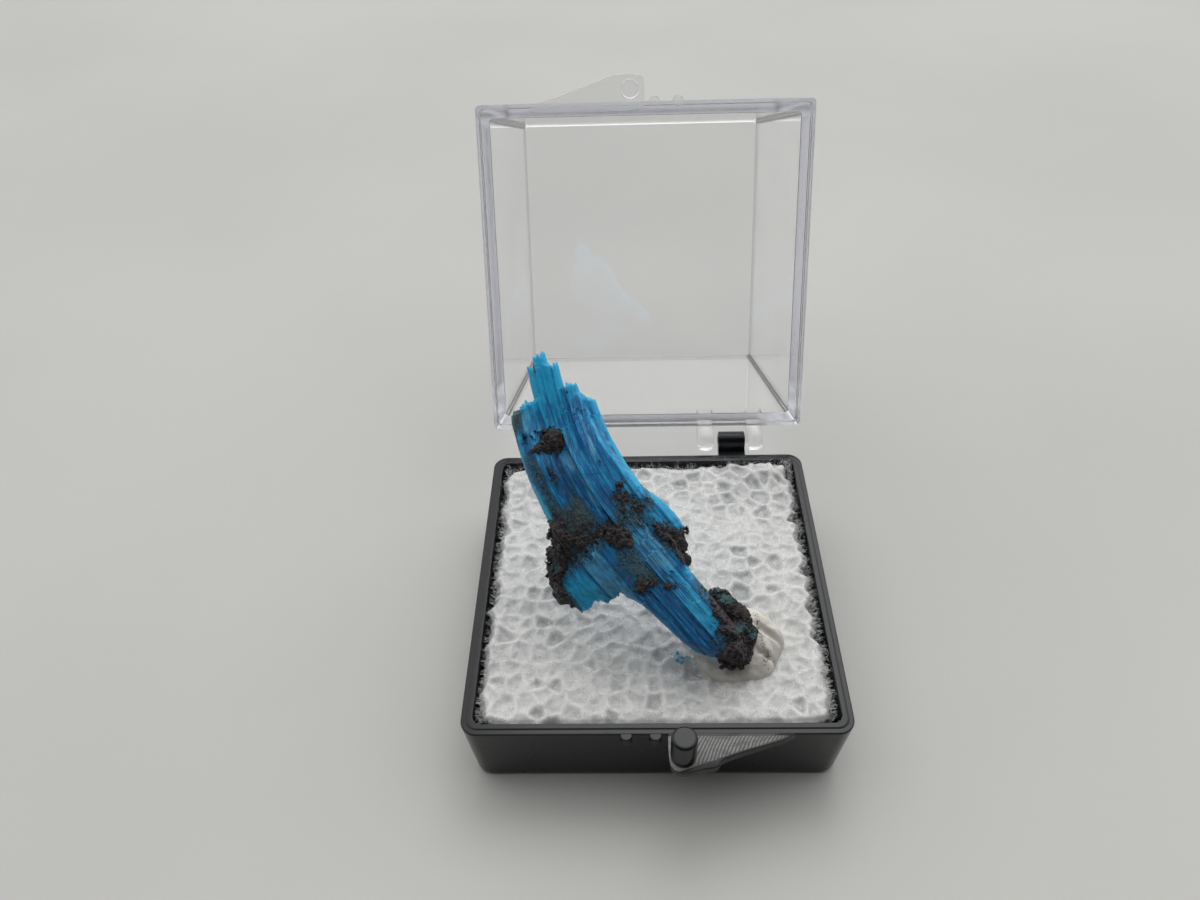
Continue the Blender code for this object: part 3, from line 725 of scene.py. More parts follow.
@dataclass(frozen=True)
class BlueCrystal(Finish):
    """Chalcanthite: silky parallel fibres, deep blue in the mass and cyan where it is thin, that cyan a painted glow of
    light shining through.
    """

    name: str = "chalcanthite_blue"
    deep: Colour = (0.006, 0.072, 0.235)
    middle: Colour = (0.010, 0.225, 0.570)
    bright: Colour = (0.022, 0.560, 0.930)
    pale: Colour = (0.42, 0.74, 0.82)
    teal: Colour = (0.026, 0.110, 0.150)
    soot: Colour = (0.012, 0.014, 0.016)
    dust: Colour = (0.18, 0.28, 0.30)

    def build(self, maker: NodeMaker) -> bpy.types.Material:
        """Streaks along the flow map, lightened where thin by a painted glow of light shining through, paled by pale
        fibres and painted sheen, and darkened by the stain mark.
        """
        flow = maker.flow_map()
        place = maker.place()
        fibres = maker.cloud(maker.scaled(flow, (5.5, 0.22, 1.0)), 1.0, 4.0, 0.66, 0.15).between(0.32, 0.68)
        hairs = maker.cloud(maker.scaled(flow, (13.0, 0.7, 1.0)), 1.0, 3.0, 0.6).between(0.3, 0.7)
        mottle = maker.cloud(place, 2600.0, 5.0, 0.7)
        clouds = maker.cloud(maker.scaled(flow, (2.6, 0.8, 1.0)), 1.0, 4.0, 0.62).between(0.3, 0.7)
        tone = maker.mark("tone") + fibres * 0.44 + hairs * 0.30 + clouds * 0.26 - 0.42
        body = maker.mixed(tone.between(0.0, 0.62), self.deep, self.middle)
        # Painted glow: bright cyan where the thin mark is high, as light shining through thin edges.
        body = maker.mixed((tone + maker.mark("thin") * 0.45).between(0.50, 1.10), body, self.bright)
        # Painted sheen: pale lines along the fibres, added to the frost mark's pale fibres and painted sheen.
        sheen_line = maker.cloud(maker.scaled(flow, (7.0, 0.35, 1.0)), 1.0, 3.0, 0.7).between(0.55, 0.72)
        frost = (maker.mark("frost") * 1.3 + sheen_line * 0.45 + hairs * 0.25 - 0.42).between(0.0, 0.75)
        body = maker.mixed(frost * 0.45, body, self.pale)
        # Pale fibre streaks with painted highlights: short pale dashes along the fibres.
        pale_and_glint_dashes = maker.cloud(maker.scaled(flow, (16.0, 1.6, 1.0)), 1.0, 4.0, 0.75, 0.3).between(0.56, 0.70)
        body = maker.mixed(pale_and_glint_dashes * clouds.between(0.0, 0.8, 0.15, 0.62), body, self.pale)
        stain = maker.mark("stain")
        dirty = (stain + mottle * 1.2 - 0.60).between(0.08, 0.75)
        body = maker.mixed(dirty * 0.85, body, self.teal)
        grit = 1.0 - maker.cells(place, 4200.0).between(0.18, 0.42)
        black = (stain * 1.2 + grit * 0.35 + mottle * 0.9 - 0.85).between(0.30, 0.62)
        body = maker.mixed(black * 0.92, body, self.soot)
        dusted = (stain * 0.8 + maker.cloud(place, 5200.0, 3.0, 0.6) - 0.5).between(0.42, 0.6)
        body = maker.mixed(dusted * 0.5, body, self.dust)
        specks = 1.0 - maker.cells(place, 1300.0).between(0.07, 0.15)
        fine_specks = (1.0 - maker.cells(place, 2900.0).between(0.12, 0.26)) * (stain * 1.4).between(0.05, 0.9)
        body = maker.mixed(specks * clouds * 0.7 + fine_specks * mottle.between(0.4, 0.6), body, self.soot)
        relief = fibres * 0.5 + hairs * 0.35 + mottle * stain * 1.2
        return maker.finish(Base_Color=body, Roughness=fibres.between(0.0, 1.0, 0.36, 0.56) + dirty * 0.2,
                            Normal=maker.bump(relief, 0.06 * MM, 0.8), IOR=1.53,
                            Specular_IOR_Level=0.28, Transmission_Weight=0.2, Subsurface_Weight=0.5,
                            Subsurface_Radius=(0.15, 0.7, 1.0), Subsurface_Scale=0.6 * MM)


@dataclass(frozen=True)
class MatrixRock(Finish):
    """Brown-black crumbly matrix with paler ridges, teal dust in places and a dull glint."""

    name: str = "brown_black_matrix"
    dark: Colour = (0.017, 0.0155, 0.0165)
    brown: Colour = (0.084, 0.073, 0.074)
    ridge: Colour = (0.220, 0.210, 0.205)
    teal: Colour = (0.060, 0.150, 0.165)

    def build(self, maker: NodeMaker) -> bpy.types.Material:
        """Noise for the brown, cell edges for the pale ridges and a wide mask for the teal dust."""
        place = maker.place()
        grain = maker.cloud(place, 4200.0, 6.0, 0.72)
        blotch = maker.cloud(place, 1500.0, 5.0, 0.7)
        ridges = 1.0 - maker.cells(place, 4400.0).between(0.06, 0.30)
        colour = maker.mixed(grain.between(0.38, 0.66), self.dark, self.brown)
        colour = maker.mixed(ridges * grain.between(0.5, 0.7) * 0.6, colour, self.ridge)
        colour = maker.mixed((maker.mark("dust") + blotch * 1.4 - 0.7).between(0.40, 0.85) * 0.8, colour, self.teal)
        relief = grain + ridges * 0.25
        return maker.finish(Base_Color=colour, Roughness=grain.between(0.35, 0.65, 0.42, 0.85),
                            Normal=maker.bump(relief, 0.09 * MM, 0.9), Specular_IOR_Level=0.4)


@dataclass(frozen=True)
class TableTop(Finish):
    """Pale matt table."""

    name: str = "pale_table"
    colour: Colour = (0.60, 0.60, 0.585)
    shade: Colour = (0.565, 0.565, 0.555)

    def build(self, maker: NodeMaker) -> bpy.types.Material:
        """Two near whites in wide clouds, with a very fine tooth."""
        place = maker.place()
        wide = maker.cloud(place, 14.0, 3.0)
        tooth = maker.cloud(place, 1800.0, 3.0)
        return maker.finish(Base_Color=maker.mixed(wide.between(0.3, 0.7), self.shade, self.colour),
                            Roughness=0.75, Specular_IOR_Level=0.2,
                            Normal=maker.bump(tooth, 0.02 * MM, 0.3))


# Box


@dataclass
class Tray:
    """Black tray: moulded shell with its ledge and lip, thumb tab, peg, snap bumps and hinge."""

    half: float = 15.875
    height: float = 7.65
    taper: float = 0.54
    corner: float = 1.4
    wall: float = 0.85
    floor: float = 1.2
    ledge: float = 0.45
    lip: float = 0.06
    lip_slope: float = 0.1
    tab: Sequence[tuple[float, float]] = (
        (0.87, -15.0), (0.87, -15.4), (0.85, -17.6), (0.91, -18.2), (1.08, -18.69), (1.45, -18.97), (1.91, -19.06),
        (2.44, -19.04), (2.99, -18.94), (3.62, -18.74), (4.3, -18.7), (4.75, -18.5), (4.95, -18.05), (6.02, -17.63),
        (8.04, -16.96), (10.48, -16.17), (11.6, -15.4), (11.6, -15.0))
    tab_thickness: float = 0.75
    snaps: tuple[float, float] = (-2.45, -0.11)
    peg: tuple[float, float] = (2.02, -17.7)
    peg_radius: float = 1.03
    peg_span: tuple[float, float] = (7.1, 10.5)
    hinge: tuple[float, float] = (17.504, 8.245)
    tongue: tuple[float, float] = (7.5, 10.2)
    pins: tuple[float, float] = (7.42, 10.28)
    pin_radius: float = 0.45

    def shell(self) -> Surface:
        """Wall section carried round a rounded square, from the underside to the inner floor."""
        h, low = self.half, self.half - self.taper
        lip_out = h - self.ledge
        lip_in = h - self.wall - 0.14
        inner = low - self.wall
        line = [(low - 3.0, low - 3.0, 0.0, 0.9), (low, low, 0.0, self.corner), (h, h, self.height, self.corner),
                (lip_out, lip_out, self.height, self.corner - self.ledge),
                (lip_out - self.lip_slope, lip_out - self.lip_slope, self.height + self.lip, self.corner - self.ledge),
                (lip_in, lip_in, self.height + self.lip, 0.75), (inner, inner, self.floor, 0.75),
                (inner - 1.5, inner - 1.5, self.floor, 0.6)]
        rows = softened(line, (0, 0.6, 0.2, 0.05, 0.05, 0.12, 0.4, 0), 4)
        return Surface.grid(rounded_square(rows, 8, 10) * MM, around=True, capped=True).outward()

    def knobs(self) -> list[Surface]:
        """Thumb tab, peg, snap bumps, hinge tongue and hinge pins."""
        top = self.height - 0.005
        tab = plate(eased_outline(self.tab), (4.0, -16.2), (top - self.tab_thickness, top), 0.1)
        r, (bottom, crown) = self.peg_radius, self.peg_span
        profile = softened([(0.02, bottom), (r, bottom), (r, crown), (0.02, crown)], (0, 0.15, 0.26, 0), 5)
        bumps = [turned(softened([(0.02, self.height - 0.8), (0.5, self.height - 0.8), (0.5, self.height - 0.02),
                                  (0.02, self.height - 0.02)], (0, 0.1, 0.12, 0), 3), (x, -15.9), 24)
                 for x in self.snaps]
        angle = np.radians(np.linspace(-60, 165, 22))
        arc = np.stack([self.hinge[0] + 0.87 * np.cos(angle), self.hinge[1] + 0.87 * np.sin(angle)], axis=1)
        outline = np.concatenate([[(15.5, 7.45), (15.5, 6.0), (16.2, 6.1)], arc, [(16.45, 7.5)]])
        tongue = plate(outline, (16.9, 7.2), self.tongue, 0.1).moved(ACROSS)
        r = self.pin_radius
        spread = softened([(0.02, self.pins[0]), (r, self.pins[0]), (r, self.pins[1]), (0.02, self.pins[1])],
                          (0, 0.1, 0.1, 0), 3)
        pins = turned(spread, self.hinge, 28).moved(ACROSS)
        return [tab, turned(profile, self.peg, 40), *bumps, tongue, pins]

    def build(self) -> None:
        """Add the tray."""
        surface = Surface.joined([self.shell(), *self.knobs()])
        mesh = surface.mesh("tray_moulding", True)
        mesh.set_sharp_from_angle(angle=math.radians(28))
        add_piece("tray_moulding", mesh, BlackPlastic(), Body.TRAY, ["base_tray"])


@dataclass
class Lid:
    """Clear lid, shaped closed as one solid and then swung open on the hinge axis."""

    half: float = 15.875
    rim: float = 7.8
    tall: float = 25.2
    wall: float = 1.2
    top: float = 1.27
    draft_x: float = 1.15
    draft_y: float = 0.64
    corner: float = 0.4
    rebate: tuple[float, float] = (0.35, 0.65)
    open_angle: float = 114.75
    tab: Sequence[tuple[float, float]] = (
        (-0.03, -15.0), (-0.03, -15.6), (-0.03, -17.7), (-0.35, -18.25), (-2.54, -18.29), (-3.64, -18.02),
        (-6.43, -16.98), (-9.7, -15.93), (-10.9, -15.5), (-10.9, -15.0))
    tab_thickness: float = 0.75
    snaps: tuple[float, float] = (0.9, 3.1)
    peg: tuple[float, float] = (-1.37, -16.95)
    peg_radius: float = 0.85
    peg_span: tuple[float, float] = (6.6, 9.0)
    hinge: tuple[float, float] = (17.504, 8.245)
    knuckles: tuple[tuple[float, float], ...] = ((5.35, 7.0), (10.45, 12.1))
    knuckle_radius: float = 1.1
    knuckle_edge: float = 0.45

    def ring(self, inset: float, up: float, radius: float) -> tuple[float, float, float, float]:
        """Half width, half depth, height and corner radius at an inset from the drafted outside."""
        share = up / self.tall
        return (self.half - self.draft_x * share - inset, self.half - self.draft_y * share - inset,
                self.rim + up, radius)

    def shell(self) -> Surface:
        """Section from the middle of the roof over the rim and back inside to the middle again."""
        step, rise = self.rebate
        inner = self.tall - self.top
        line = [self.ring(6.0, self.tall, 0.3), self.ring(0, self.tall, self.corner),
                self.ring(0, 0, self.corner), self.ring(step, 0, self.corner),
                self.ring(step, rise, self.corner), self.ring(self.wall, rise, self.corner),
                self.ring(self.wall, inner, self.corner), self.ring(7.0, inner, 0.3)]
        rows = softened(line, (0, 0.35, 0.1, 0.05, 0.05, 0.08, 0.3, 0), 4)
        return Surface.grid(rounded_square(rows, 6, 1) * MM, around=True, capped=True).outward()

    def knuckle(self, span: tuple[float, float]) -> Surface:
        """Hinge lobe: an arc about the axis and a root on the back wall, as a plate with soft edges."""
        angle = np.radians(np.linspace(195, 420, 25))
        arc = np.array(self.hinge) + self.knuckle_radius * np.stack([np.cos(angle), np.sin(angle)], axis=1)
        outline = np.concatenate([arc, [(15.31, 10.87), (15.29, 9.03), (15.97, 8.71)]])
        return plate(outline, self.hinge, span, self.knuckle_edge).moved(ACROSS)

    def united(self, parts: Sequence[Surface]) -> bpy.types.Mesh:
        """One closed mesh of overlapping closed surfaces."""
        objects = []
        for index, part in enumerate(parts):
            made = bpy.data.objects.new(f"lid_part_{index}", part.mesh(f"lid_part_{index}", False))
            bpy.context.scene.collection.objects.link(made)
            objects.append(made)
        for other in objects[1:]:
            modifier = objects[0].modifiers.new(other.name, "BOOLEAN")
            modifier.operation = "UNION"
            modifier.solver = "EXACT"
            modifier.object = other
        bpy.context.view_layer.update()
        graph = bpy.context.evaluated_depsgraph_get()
        mesh = bpy.data.meshes.new_from_object(objects[0].evaluated_get(graph))
        for made in objects:
            bpy.data.objects.remove(made, do_unlink=True)
        if not mesh.polygons:
            raise ValueError("the union of the lid's parts came out empty")
        return mesh

    def build(self) -> None:
        """Add the lid."""
        low = self.rim + 0.02
        tab = plate(eased_outline(self.tab), (-3.6, -16.0), (low, low + self.tab_thickness), 0.08)
        r, (bottom, crown) = self.peg_radius, self.peg_span
        profile = softened([(0.02, bottom), (r, bottom), (r, crown), (0.02, crown)], (0, 0.15, 0.2, 0), 5)
        parts = [self.shell(), tab, turned(profile, self.peg, 40)]
        parts += [turned(softened([(0.02, low), (0.5, low), (0.5, low + 0.72), (0.02, low + 0.72)],
                                  (0, 0.08, 0.12, 0), 3), (x, -15.9), 28) for x in self.snaps]
        parts += [self.knuckle(span) for span in self.knuckles]
        mesh = self.united(parts)
        axis = Vector((0, self.hinge[0] * MM, self.hinge[1] * MM))
        swing = Matrix.Rotation(-math.radians(self.open_angle), 4, "X")
        mesh.transform(Matrix.Translation(axis) @ swing @ Matrix.Translation(-axis))
        mesh.polygons.foreach_set("use_smooth", np.zeros(len(mesh.polygons), bool))
        piece = add_piece("lid_moulding", mesh, ClearPlastic(), Body.LID, ["lid"])
        piece.visible_shadow = False


# Foam and putty


@dataclass
class FoamPad:
    """Sawn foam pad: a bed of open cells, torn films standing on their walls, and a ragged fringe."""

    half: float = 14.65
    front: float = 0.2
    floor: float = 1.5
    top: float = 7.45
    taper: float = 0.54
    dent_centre: tuple[float, float] = (8.0, -7.3)
    dent: float = 0.5
    dent_radii: tuple[float, float] = (4.9, 6.3)
    cell: float = 1.6
    fine_cell: float = 0.8
    recess: tuple[float, float, float] = (0.3, 0.5, 0.2)
    wall_depth: float = 0.15
    hole_depth: float = 0.2
    raised_corner: float = 0.45
    columns: int = 212
    seed: int = 5

    def level(self, x: np.ndarray, y: np.ndarray) -> np.ndarray:
        """Height of the sawn face: soft waves, a raised back corner, less a dent round the putty."""
        plane = np.stack([x, y, np.zeros_like(x)], axis=-1)
        swell = 0.16 * fractal(plane / 4.0, 3, self.seed)
        swell = swell + self.raised_corner * step_up(x, 6.5, 9.0) * step_up(y, 10.5, 13.5)
        reach = np.hypot(x - self.dent_centre[0], y - self.dent_centre[1])
        return self.top + swell - self.dent * (1 - step_up(reach, self.dent_radii[0] - 1.6, self.dent_radii[1]))

    def seeds(self, pitch: float, seed: int) -> np.ndarray:
        """Middles of the cells: a square lattice, each point shifted by up to half a pitch."""
        count = math.ceil(self.half / pitch) + 1
        whole = np.arange(-count, count + 1)
        cells = np.stack(np.meshgrid(whole, whole, [0], indexing="ij"), axis=-1).reshape(-1, 3)
        shift = np.stack([hashed(cells, seed), hashed(cells, seed + 1)], axis=1) - 0.5
        return (cells[:, :2] + 0.92 * shift) * pitch

    def walls(self, x: np.ndarray, y: np.ndarray, pitch: float, seed: int) -> tuple[np.ndarray, np.ndarray]:
        """Nearness to a cell wall, 1 on it, from the gap between the two nearest middles; and the cell's number."""
        here = np.stack([x, y], axis=-1) / pitch
        base = np.round(here)
        near = np.full(x.shape, 9.0)
        second = np.full(x.shape, 9.0)
        number = np.zeros(x.shape)
        for i, j in itertools.product(range(-2, 3), repeat=2):
            cells = np.concatenate([base + (i, j), np.zeros(x.shape + (1,))], axis=-1)
            shift = np.stack([hashed(cells, seed), hashed(cells, seed + 1)], axis=-1) - 0.5
            away = np.linalg.norm(cells[..., :2] + 0.92 * shift - here, axis=-1)
            number = np.where(away < near, hashed(cells, seed + 2), number)
            second = np.minimum(second, np.maximum(near, away))
            near = np.minimum(near, away)
        return 1 - step_up(second - near, 0.0, 0.6), number

    def bed(self) -> Surface:
        """Closed block: a square grid whose top has the cells, with rows down its sides and below."""
        line = np.linspace(-1, 1, self.columns)
        unit_x, unit_y = np.meshgrid(line, line, indexing="xy")
        edge = np.maximum(np.abs(unit_x), np.abs(unit_y))
        angle = np.arctan2(unit_y, unit_x)
        ring = np.stack([np.cos(angle) * 6, np.sin(angle) * 6, np.zeros_like(angle)], axis=-1)
        torn = 0.7 + fractal(ring * 2.2, 4, self.seed + 30, 0.6)
        left, right, back = self.recess
        sides = np.where(unit_x < 0, left, right) * (0.6 + 0.4 * step_up(unit_y, -1.0, -0.4))
        corner = 0.55 * (np.abs(unit_x) * np.abs(unit_y)) ** 14
        x = unit_x * (self.half - corner - torn * sides * step_up(np.abs(unit_x), 0.8, 1.0))
        y = unit_y * (self.half - corner - torn * np.where(unit_y < 0, 0.1, back) * step_up(np.abs(unit_y), 0.8, 1.0))
        y = y - self.front * step_up(-unit_y, 0.6, 1.0)
        coarse, number = self.walls(x, y, self.cell, self.seed + 3)
        fine = self.walls(x + 0.3, y, self.fine_cell, self.seed + 9)[0]
        haze = fractal(np.stack([x / 1.1, y / 0.6, 0 * x], axis=-1), 5, self.seed + 21, 0.65)
        holes = step_up(number + 0.16 * step_up(y, 2, 10), 0.80, 0.90) * (1 - coarse)
        rough = fractal(np.stack([x, y, 0 * x], axis=-1) / 0.5, 3, self.seed + 20)
        # Wall mark, painted shade: darker in the cell hollows and deep holes, lighter on the walls, with a random haze.
        wall = 0.56 + 0.14 * coarse + 0.12 * fine * (0.4 + coarse) + 0.26 * haze - 0.36 * holes
        # Painted shade: darker towards the back of the pad.
        wall = np.clip(wall - 0.16 * step_up(y, 4, 12), 0, 1)
        fall = np.where(np.abs(unit_y) > np.abs(unit_x), 0.35, 0.5)
        z = (self.level(x, y) - self.wall_depth * (1 - coarse) - self.hole_depth * holes + 0.05 * rough
             - fall * step_up(edge, 0.965, 1.0))
        index = np.arange(x.size).reshape(x.shape)
        quads = np.stack([part.ravel() for part in (index[:-1, :-1], index[:-1, 1:], index[1:, 1:], index[1:, :-1])],
                         axis=1)
        loop = np.concatenate([index[0, :-1], index[:-1, -1], index[-1, :0:-1], index[:0:-1, 0]])
        top = np.stack([x, y, z], axis=-1).reshape(-1, 3)
        shrink = (self.half - self.taper) / self.half
        low = top[loop] * (shrink, shrink, 0) + (0, 0, self.floor)
        first = len(top)
        below = first + np.arange(len(loop))
        sides = np.stack([loop, below, np.roll(below, -1), np.roll(loop, -1)], axis=1)
        centre = np.array([[0, 0, self.floor]])
        fan = np.stack([np.full(len(loop), first + len(loop)), np.roll(below, -1), below], axis=1)
        points = np.concatenate([top, low, centre]) * MM
        marks = np.concatenate([wall.ravel(), np.full(len(loop) + 1, 0.4)])
        return Surface(points, np.concatenate([quads, sides]), fan, {"wall": marks}).outward()

    def network(self, pitch: float, seed: int) -> tuple[np.ndarray, np.ndarray]:
        """Ends of the cell walls: lines between the middles of the circles round neighbouring triangles.

        Args:
            pitch: Spacing of the cells.
            seed: Number of the pattern.

        Returns:
            Two arrays (n, 2) of ends, in millimetres.
        """
        spots = self.seeds(pitch, seed)
        made = geometry.delaunay_2d_cdt([Vector(spot) for spot in spots], [], [], 0, 1e-6)
        corners = np.array([tuple(vert) for vert in made[0]])
        faces = np.array([face for face in made[2] if len(face) == 3])
        a, b, c = (corners[faces[:, i]] for i in range(3))
        b, c = b - a, c - a
        d = 2 * (b[:, 0] * c[:, 1] - b[:, 1] * c[:, 0])
        bb, cc = (b**2).sum(axis=1), (c**2).sum(axis=1)
        centres = a + np.stack([c[:, 1] * bb - b[:, 1] * cc, b[:, 0] * cc - c[:, 0] * bb], axis=1) / d[:, None]
        ends = np.sort(np.concatenate([faces[:, [0, 1]], faces[:, [1, 2]], faces[:, [2, 0]]]), axis=1)
        owner = np.tile(np.arange(len(faces)), 3)
        order = np.lexsort((ends[:, 1], ends[:, 0]))
        ends, owner = ends[order], owner[order]
        twins = np.nonzero((ends[1:] == ends[:-1]).all(axis=1))[0]
        start, end = centres[owner[twins]], centres[owner[twins + 1]]
        inside = (np.abs(start).max(axis=1) < self.half) & (np.abs(end).max(axis=1) < self.half)
        length = np.linalg.norm(end - start, axis=1)
        keep = inside & (length > 0.12 * pitch) & (length < 2.5 * pitch)
        return start[keep], end[keep]

    def films(self, pitch: float, seed: int, rise: float, depth: float, kept: float) -> Surface:
        """Torn films, one on each wall of a network of cells.

        A film is a sheet from one end of the wall to the other and from its top downwards; it bows
        to one side by a half sine, its top sags by another, and it fades downwards.

        Args:
            pitch: Spacing of the cells.
            seed: Number of the pattern.
            rise: Mean height of the tops above the sawn face.
            depth: How far the films reach down.
            kept: Share of the walls that have a film.

        Returns:
            The films.
        """
        rng = np.random.default_rng(seed)
        start, end = self.network(pitch, seed)
        chosen = rng.random(len(start)) < kept
        start, end = start[chosen], end[chosen]
        count = len(start)
        along = np.linspace(0, 1, 6)
        down = np.array((0, 0.09, 0.4, 1))
        side = end - start
        normal = np.stack([-side[:, 1], side[:, 0]], axis=1) / np.linalg.norm(side, axis=1, keepdims=True)
        bow = rng.normal(0, 0.12, count) * np.linalg.norm(side, axis=1)
        lean = rng.normal(0, 0.34, (count, 2))
        sag = rng.uniform(-0.10, 0.40, count)
        arch = np.sin(math.pi * along)

        def tops(ends: np.ndarray, number: int) -> np.ndarray:
            """Height of each wall's end, the same for every wall that meets there."""
            cells = np.concatenate([np.round(ends * 200), np.zeros((count, 1))], axis=1)
            return self.level(ends[:, 0], ends[:, 1]) + rise + 0.42 * (hashed(cells, number) - 0.5)

        z0, z1 = tops(start, seed), tops(end, seed)
        flat = start[:, None] + side[:, None] * along[:, None] + normal[:, None] * (bow[:, None] * arch)[..., None]
        jag = rng.normal(0, 0.05, (count, len(along)))
        crown = z0[:, None] + (z1 - z0)[:, None] * along - sag[:, None] * arch + jag
        limit = self.half + 0.12
        sheet = np.zeros((count, len(down), len(along), 3))
        sheet[..., :2] = flat[:, None] + lean[:, None, None] * (down[:, None, None] - 0.5) * depth
        sheet[..., 2] = crown[:, None] - depth * down[:, None]
        sheet[..., :2] = np.clip(sheet[..., :2], -limit, limit)
        block = np.arange(sheet[..., 0].size).reshape(sheet.shape[:3])
        quads = np.stack([block[:, :-1, :-1], block[:, :-1, 1:], block[:, 1:, 1:], block[:, 1:, :-1]], axis=-1)
        veil = np.broadcast_to(np.array((0.62, 0.36, 0.16, 0.0))[:, None], sheet.shape[:3])
        return Surface(sheet.reshape(-1, 3) * MM, quads.reshape(-1, 4), marks={"veil": veil.ravel()})

    def flakes(self, count: int, seed: int) -> Surface:
        """Torn filaments: slim curled strips of film, and at the pad's edges tufts that point outwards."""
        rng = np.random.default_rng(seed)
        spot = rng.uniform(-1, 1, (count, 2)) * self.half
        push = rng.random(count) < 0.5
        side = rng.integers(0, 2, count)
        edge = self.half - 0.4 - np.abs(rng.normal(0, 0.35, count))
        spot[push, side[push]] = (np.sign(spot[push, side[push]]) * edge[push])
        base = self.level(spot[:, 0], spot[:, 1]) + rng.normal(0.0, 0.16, count) - 0.25 * push * rng.random(count)
        size = np.where(push, rng.uniform(0.25, 0.95, count), rng.uniform(0.2, 0.8, count))
        size = size * np.where(push & (side == 1), 0.55, 1.0)
        outward = np.arctan2(spot[:, 1] * (side == 1), spot[:, 0] * (side == 0))
        turn = np.where(push, outward + rng.normal(0, 0.45, count), rng.uniform(0, 2 * math.pi, count))
        tilt = np.where(push, rng.normal(1.35, 0.35, count), rng.normal(1.1, 0.4, count))
        curl = rng.normal(0, 0.6, count)
        u = np.linspace(-0.5, 0.5, 3)[None, :, None]
        v = np.linspace(0, 1, 4)[None, None, :]
        width = (size * rng.uniform(0.06, 0.26, count))[:, None, None]
        bend = tilt[:, None, None] + curl[:, None, None] * v
        out = size[:, None, None] * v * np.sin(bend)
        up = size[:, None, None] * v * np.cos(bend) * 0.8
        across = u * width * (1 - 0.75 * v)
        cos, sin = np.cos(turn)[:, None, None], np.sin(turn)[:, None, None]
        limit = self.half + 0.1
        x = np.clip(spot[:, 0, None, None] + cos * out - sin * across, -limit, limit)
        y = np.clip(spot[:, 1, None, None] + sin * out + cos * across, -limit, limit)
        z = base[:, None, None] + up
        points = np.stack([x, y, np.broadcast_to(z, x.shape)], axis=-1)
        block = np.arange(count * 12).reshape(count, 3, 4)
        quads = np.stack([block[:, :-1, :-1], block[:, :-1, 1:], block[:, 1:, 1:], block[:, 1:, :-1]], axis=-1)
        veil = np.broadcast_to(v**2 * 0.8, (count, 3, 4)).ravel()
        return Surface(points.reshape(-1, 3) * MM, quads.reshape(-1, 4), marks={"veil": veil})

    def build(self) -> None:
        """Add the bed and its films."""
        add_piece("foam_bed", self.bed().mesh("foam_bed", True), FoamBed(), Body.TRAY, ["foam_insert"])
        coarse = self.films(self.cell, self.seed + 3, 0.10, 0.5, 0.9)
        fine = self.films(self.fine_cell, self.seed + 40, 0.02, 0.32, 0.8)
        films = Surface.joined([coarse, fine])
        add_piece("foam_films", films.mesh("foam_films", True), FoamFilm(), Body.TRAY)
        fringe = self.flakes(6500, self.seed + 70)
        add_piece("foam_flaps", fringe.mesh("foam_flaps", True), FoamFilm(), Body.TRAY)


def strewn(spots: np.ndarray, sizes: np.ndarray, rng: np.random.Generator, **marks: float) -> Surface:
    """Grains: a six-sided ball, stretched and pulled about at random, once at each spot.

    Args:
        spots: Array (n, 3) of places.
        sizes: Array (n) of radii.
        rng: Random numbers.
        **marks: Marks that all grains have.

    Returns:
        The grains as one surface.
    """
    polar = np.radians([42, 90, 138])[:, None]
    turn = np.linspace(0, 2 * math.pi, 6, endpoint=False)[None, :]
    ray = np.stack(np.broadcast_arrays(np.sin(polar) * np.cos(turn), np.sin(polar) * np.sin(turn),
                                       np.cos(polar)), axis=-1)
    ball = Surface.grid(ray, around=True, capped=True).outward()
    ball.points[-2:] = (0, 0, 1), (0, 0, -1)
    count = len(spots)
    stretch = rng.uniform(0.55, 1.35, (count, 1, 3)) * rng.uniform(0.8, 1.2, (count, len(ball.points), 1))
    spin = rng.uniform(0, 2 * math.pi, (count, 1))
    grains = ball.points[None] * stretch * sizes[:, None, None]
    x = grains[..., 0] * np.cos(spin) - grains[..., 1] * np.sin(spin)
    y = grains[..., 0] * np.sin(spin) + grains[..., 1] * np.cos(spin)
    cloud = (np.stack([x, y, grains[..., 2]], axis=-1) + spots[:, None]).reshape(-1, 3)
    shift = (np.arange(count) * len(ball.points))[:, None, None]
    return Surface(cloud, (ball.quads[None] + shift).reshape(-1, 4), (ball.triangles[None] + shift).reshape(-1, 3),
                   {name: np.full(len(cloud), value) for name, value in marks.items()}, cloud[:, :2])


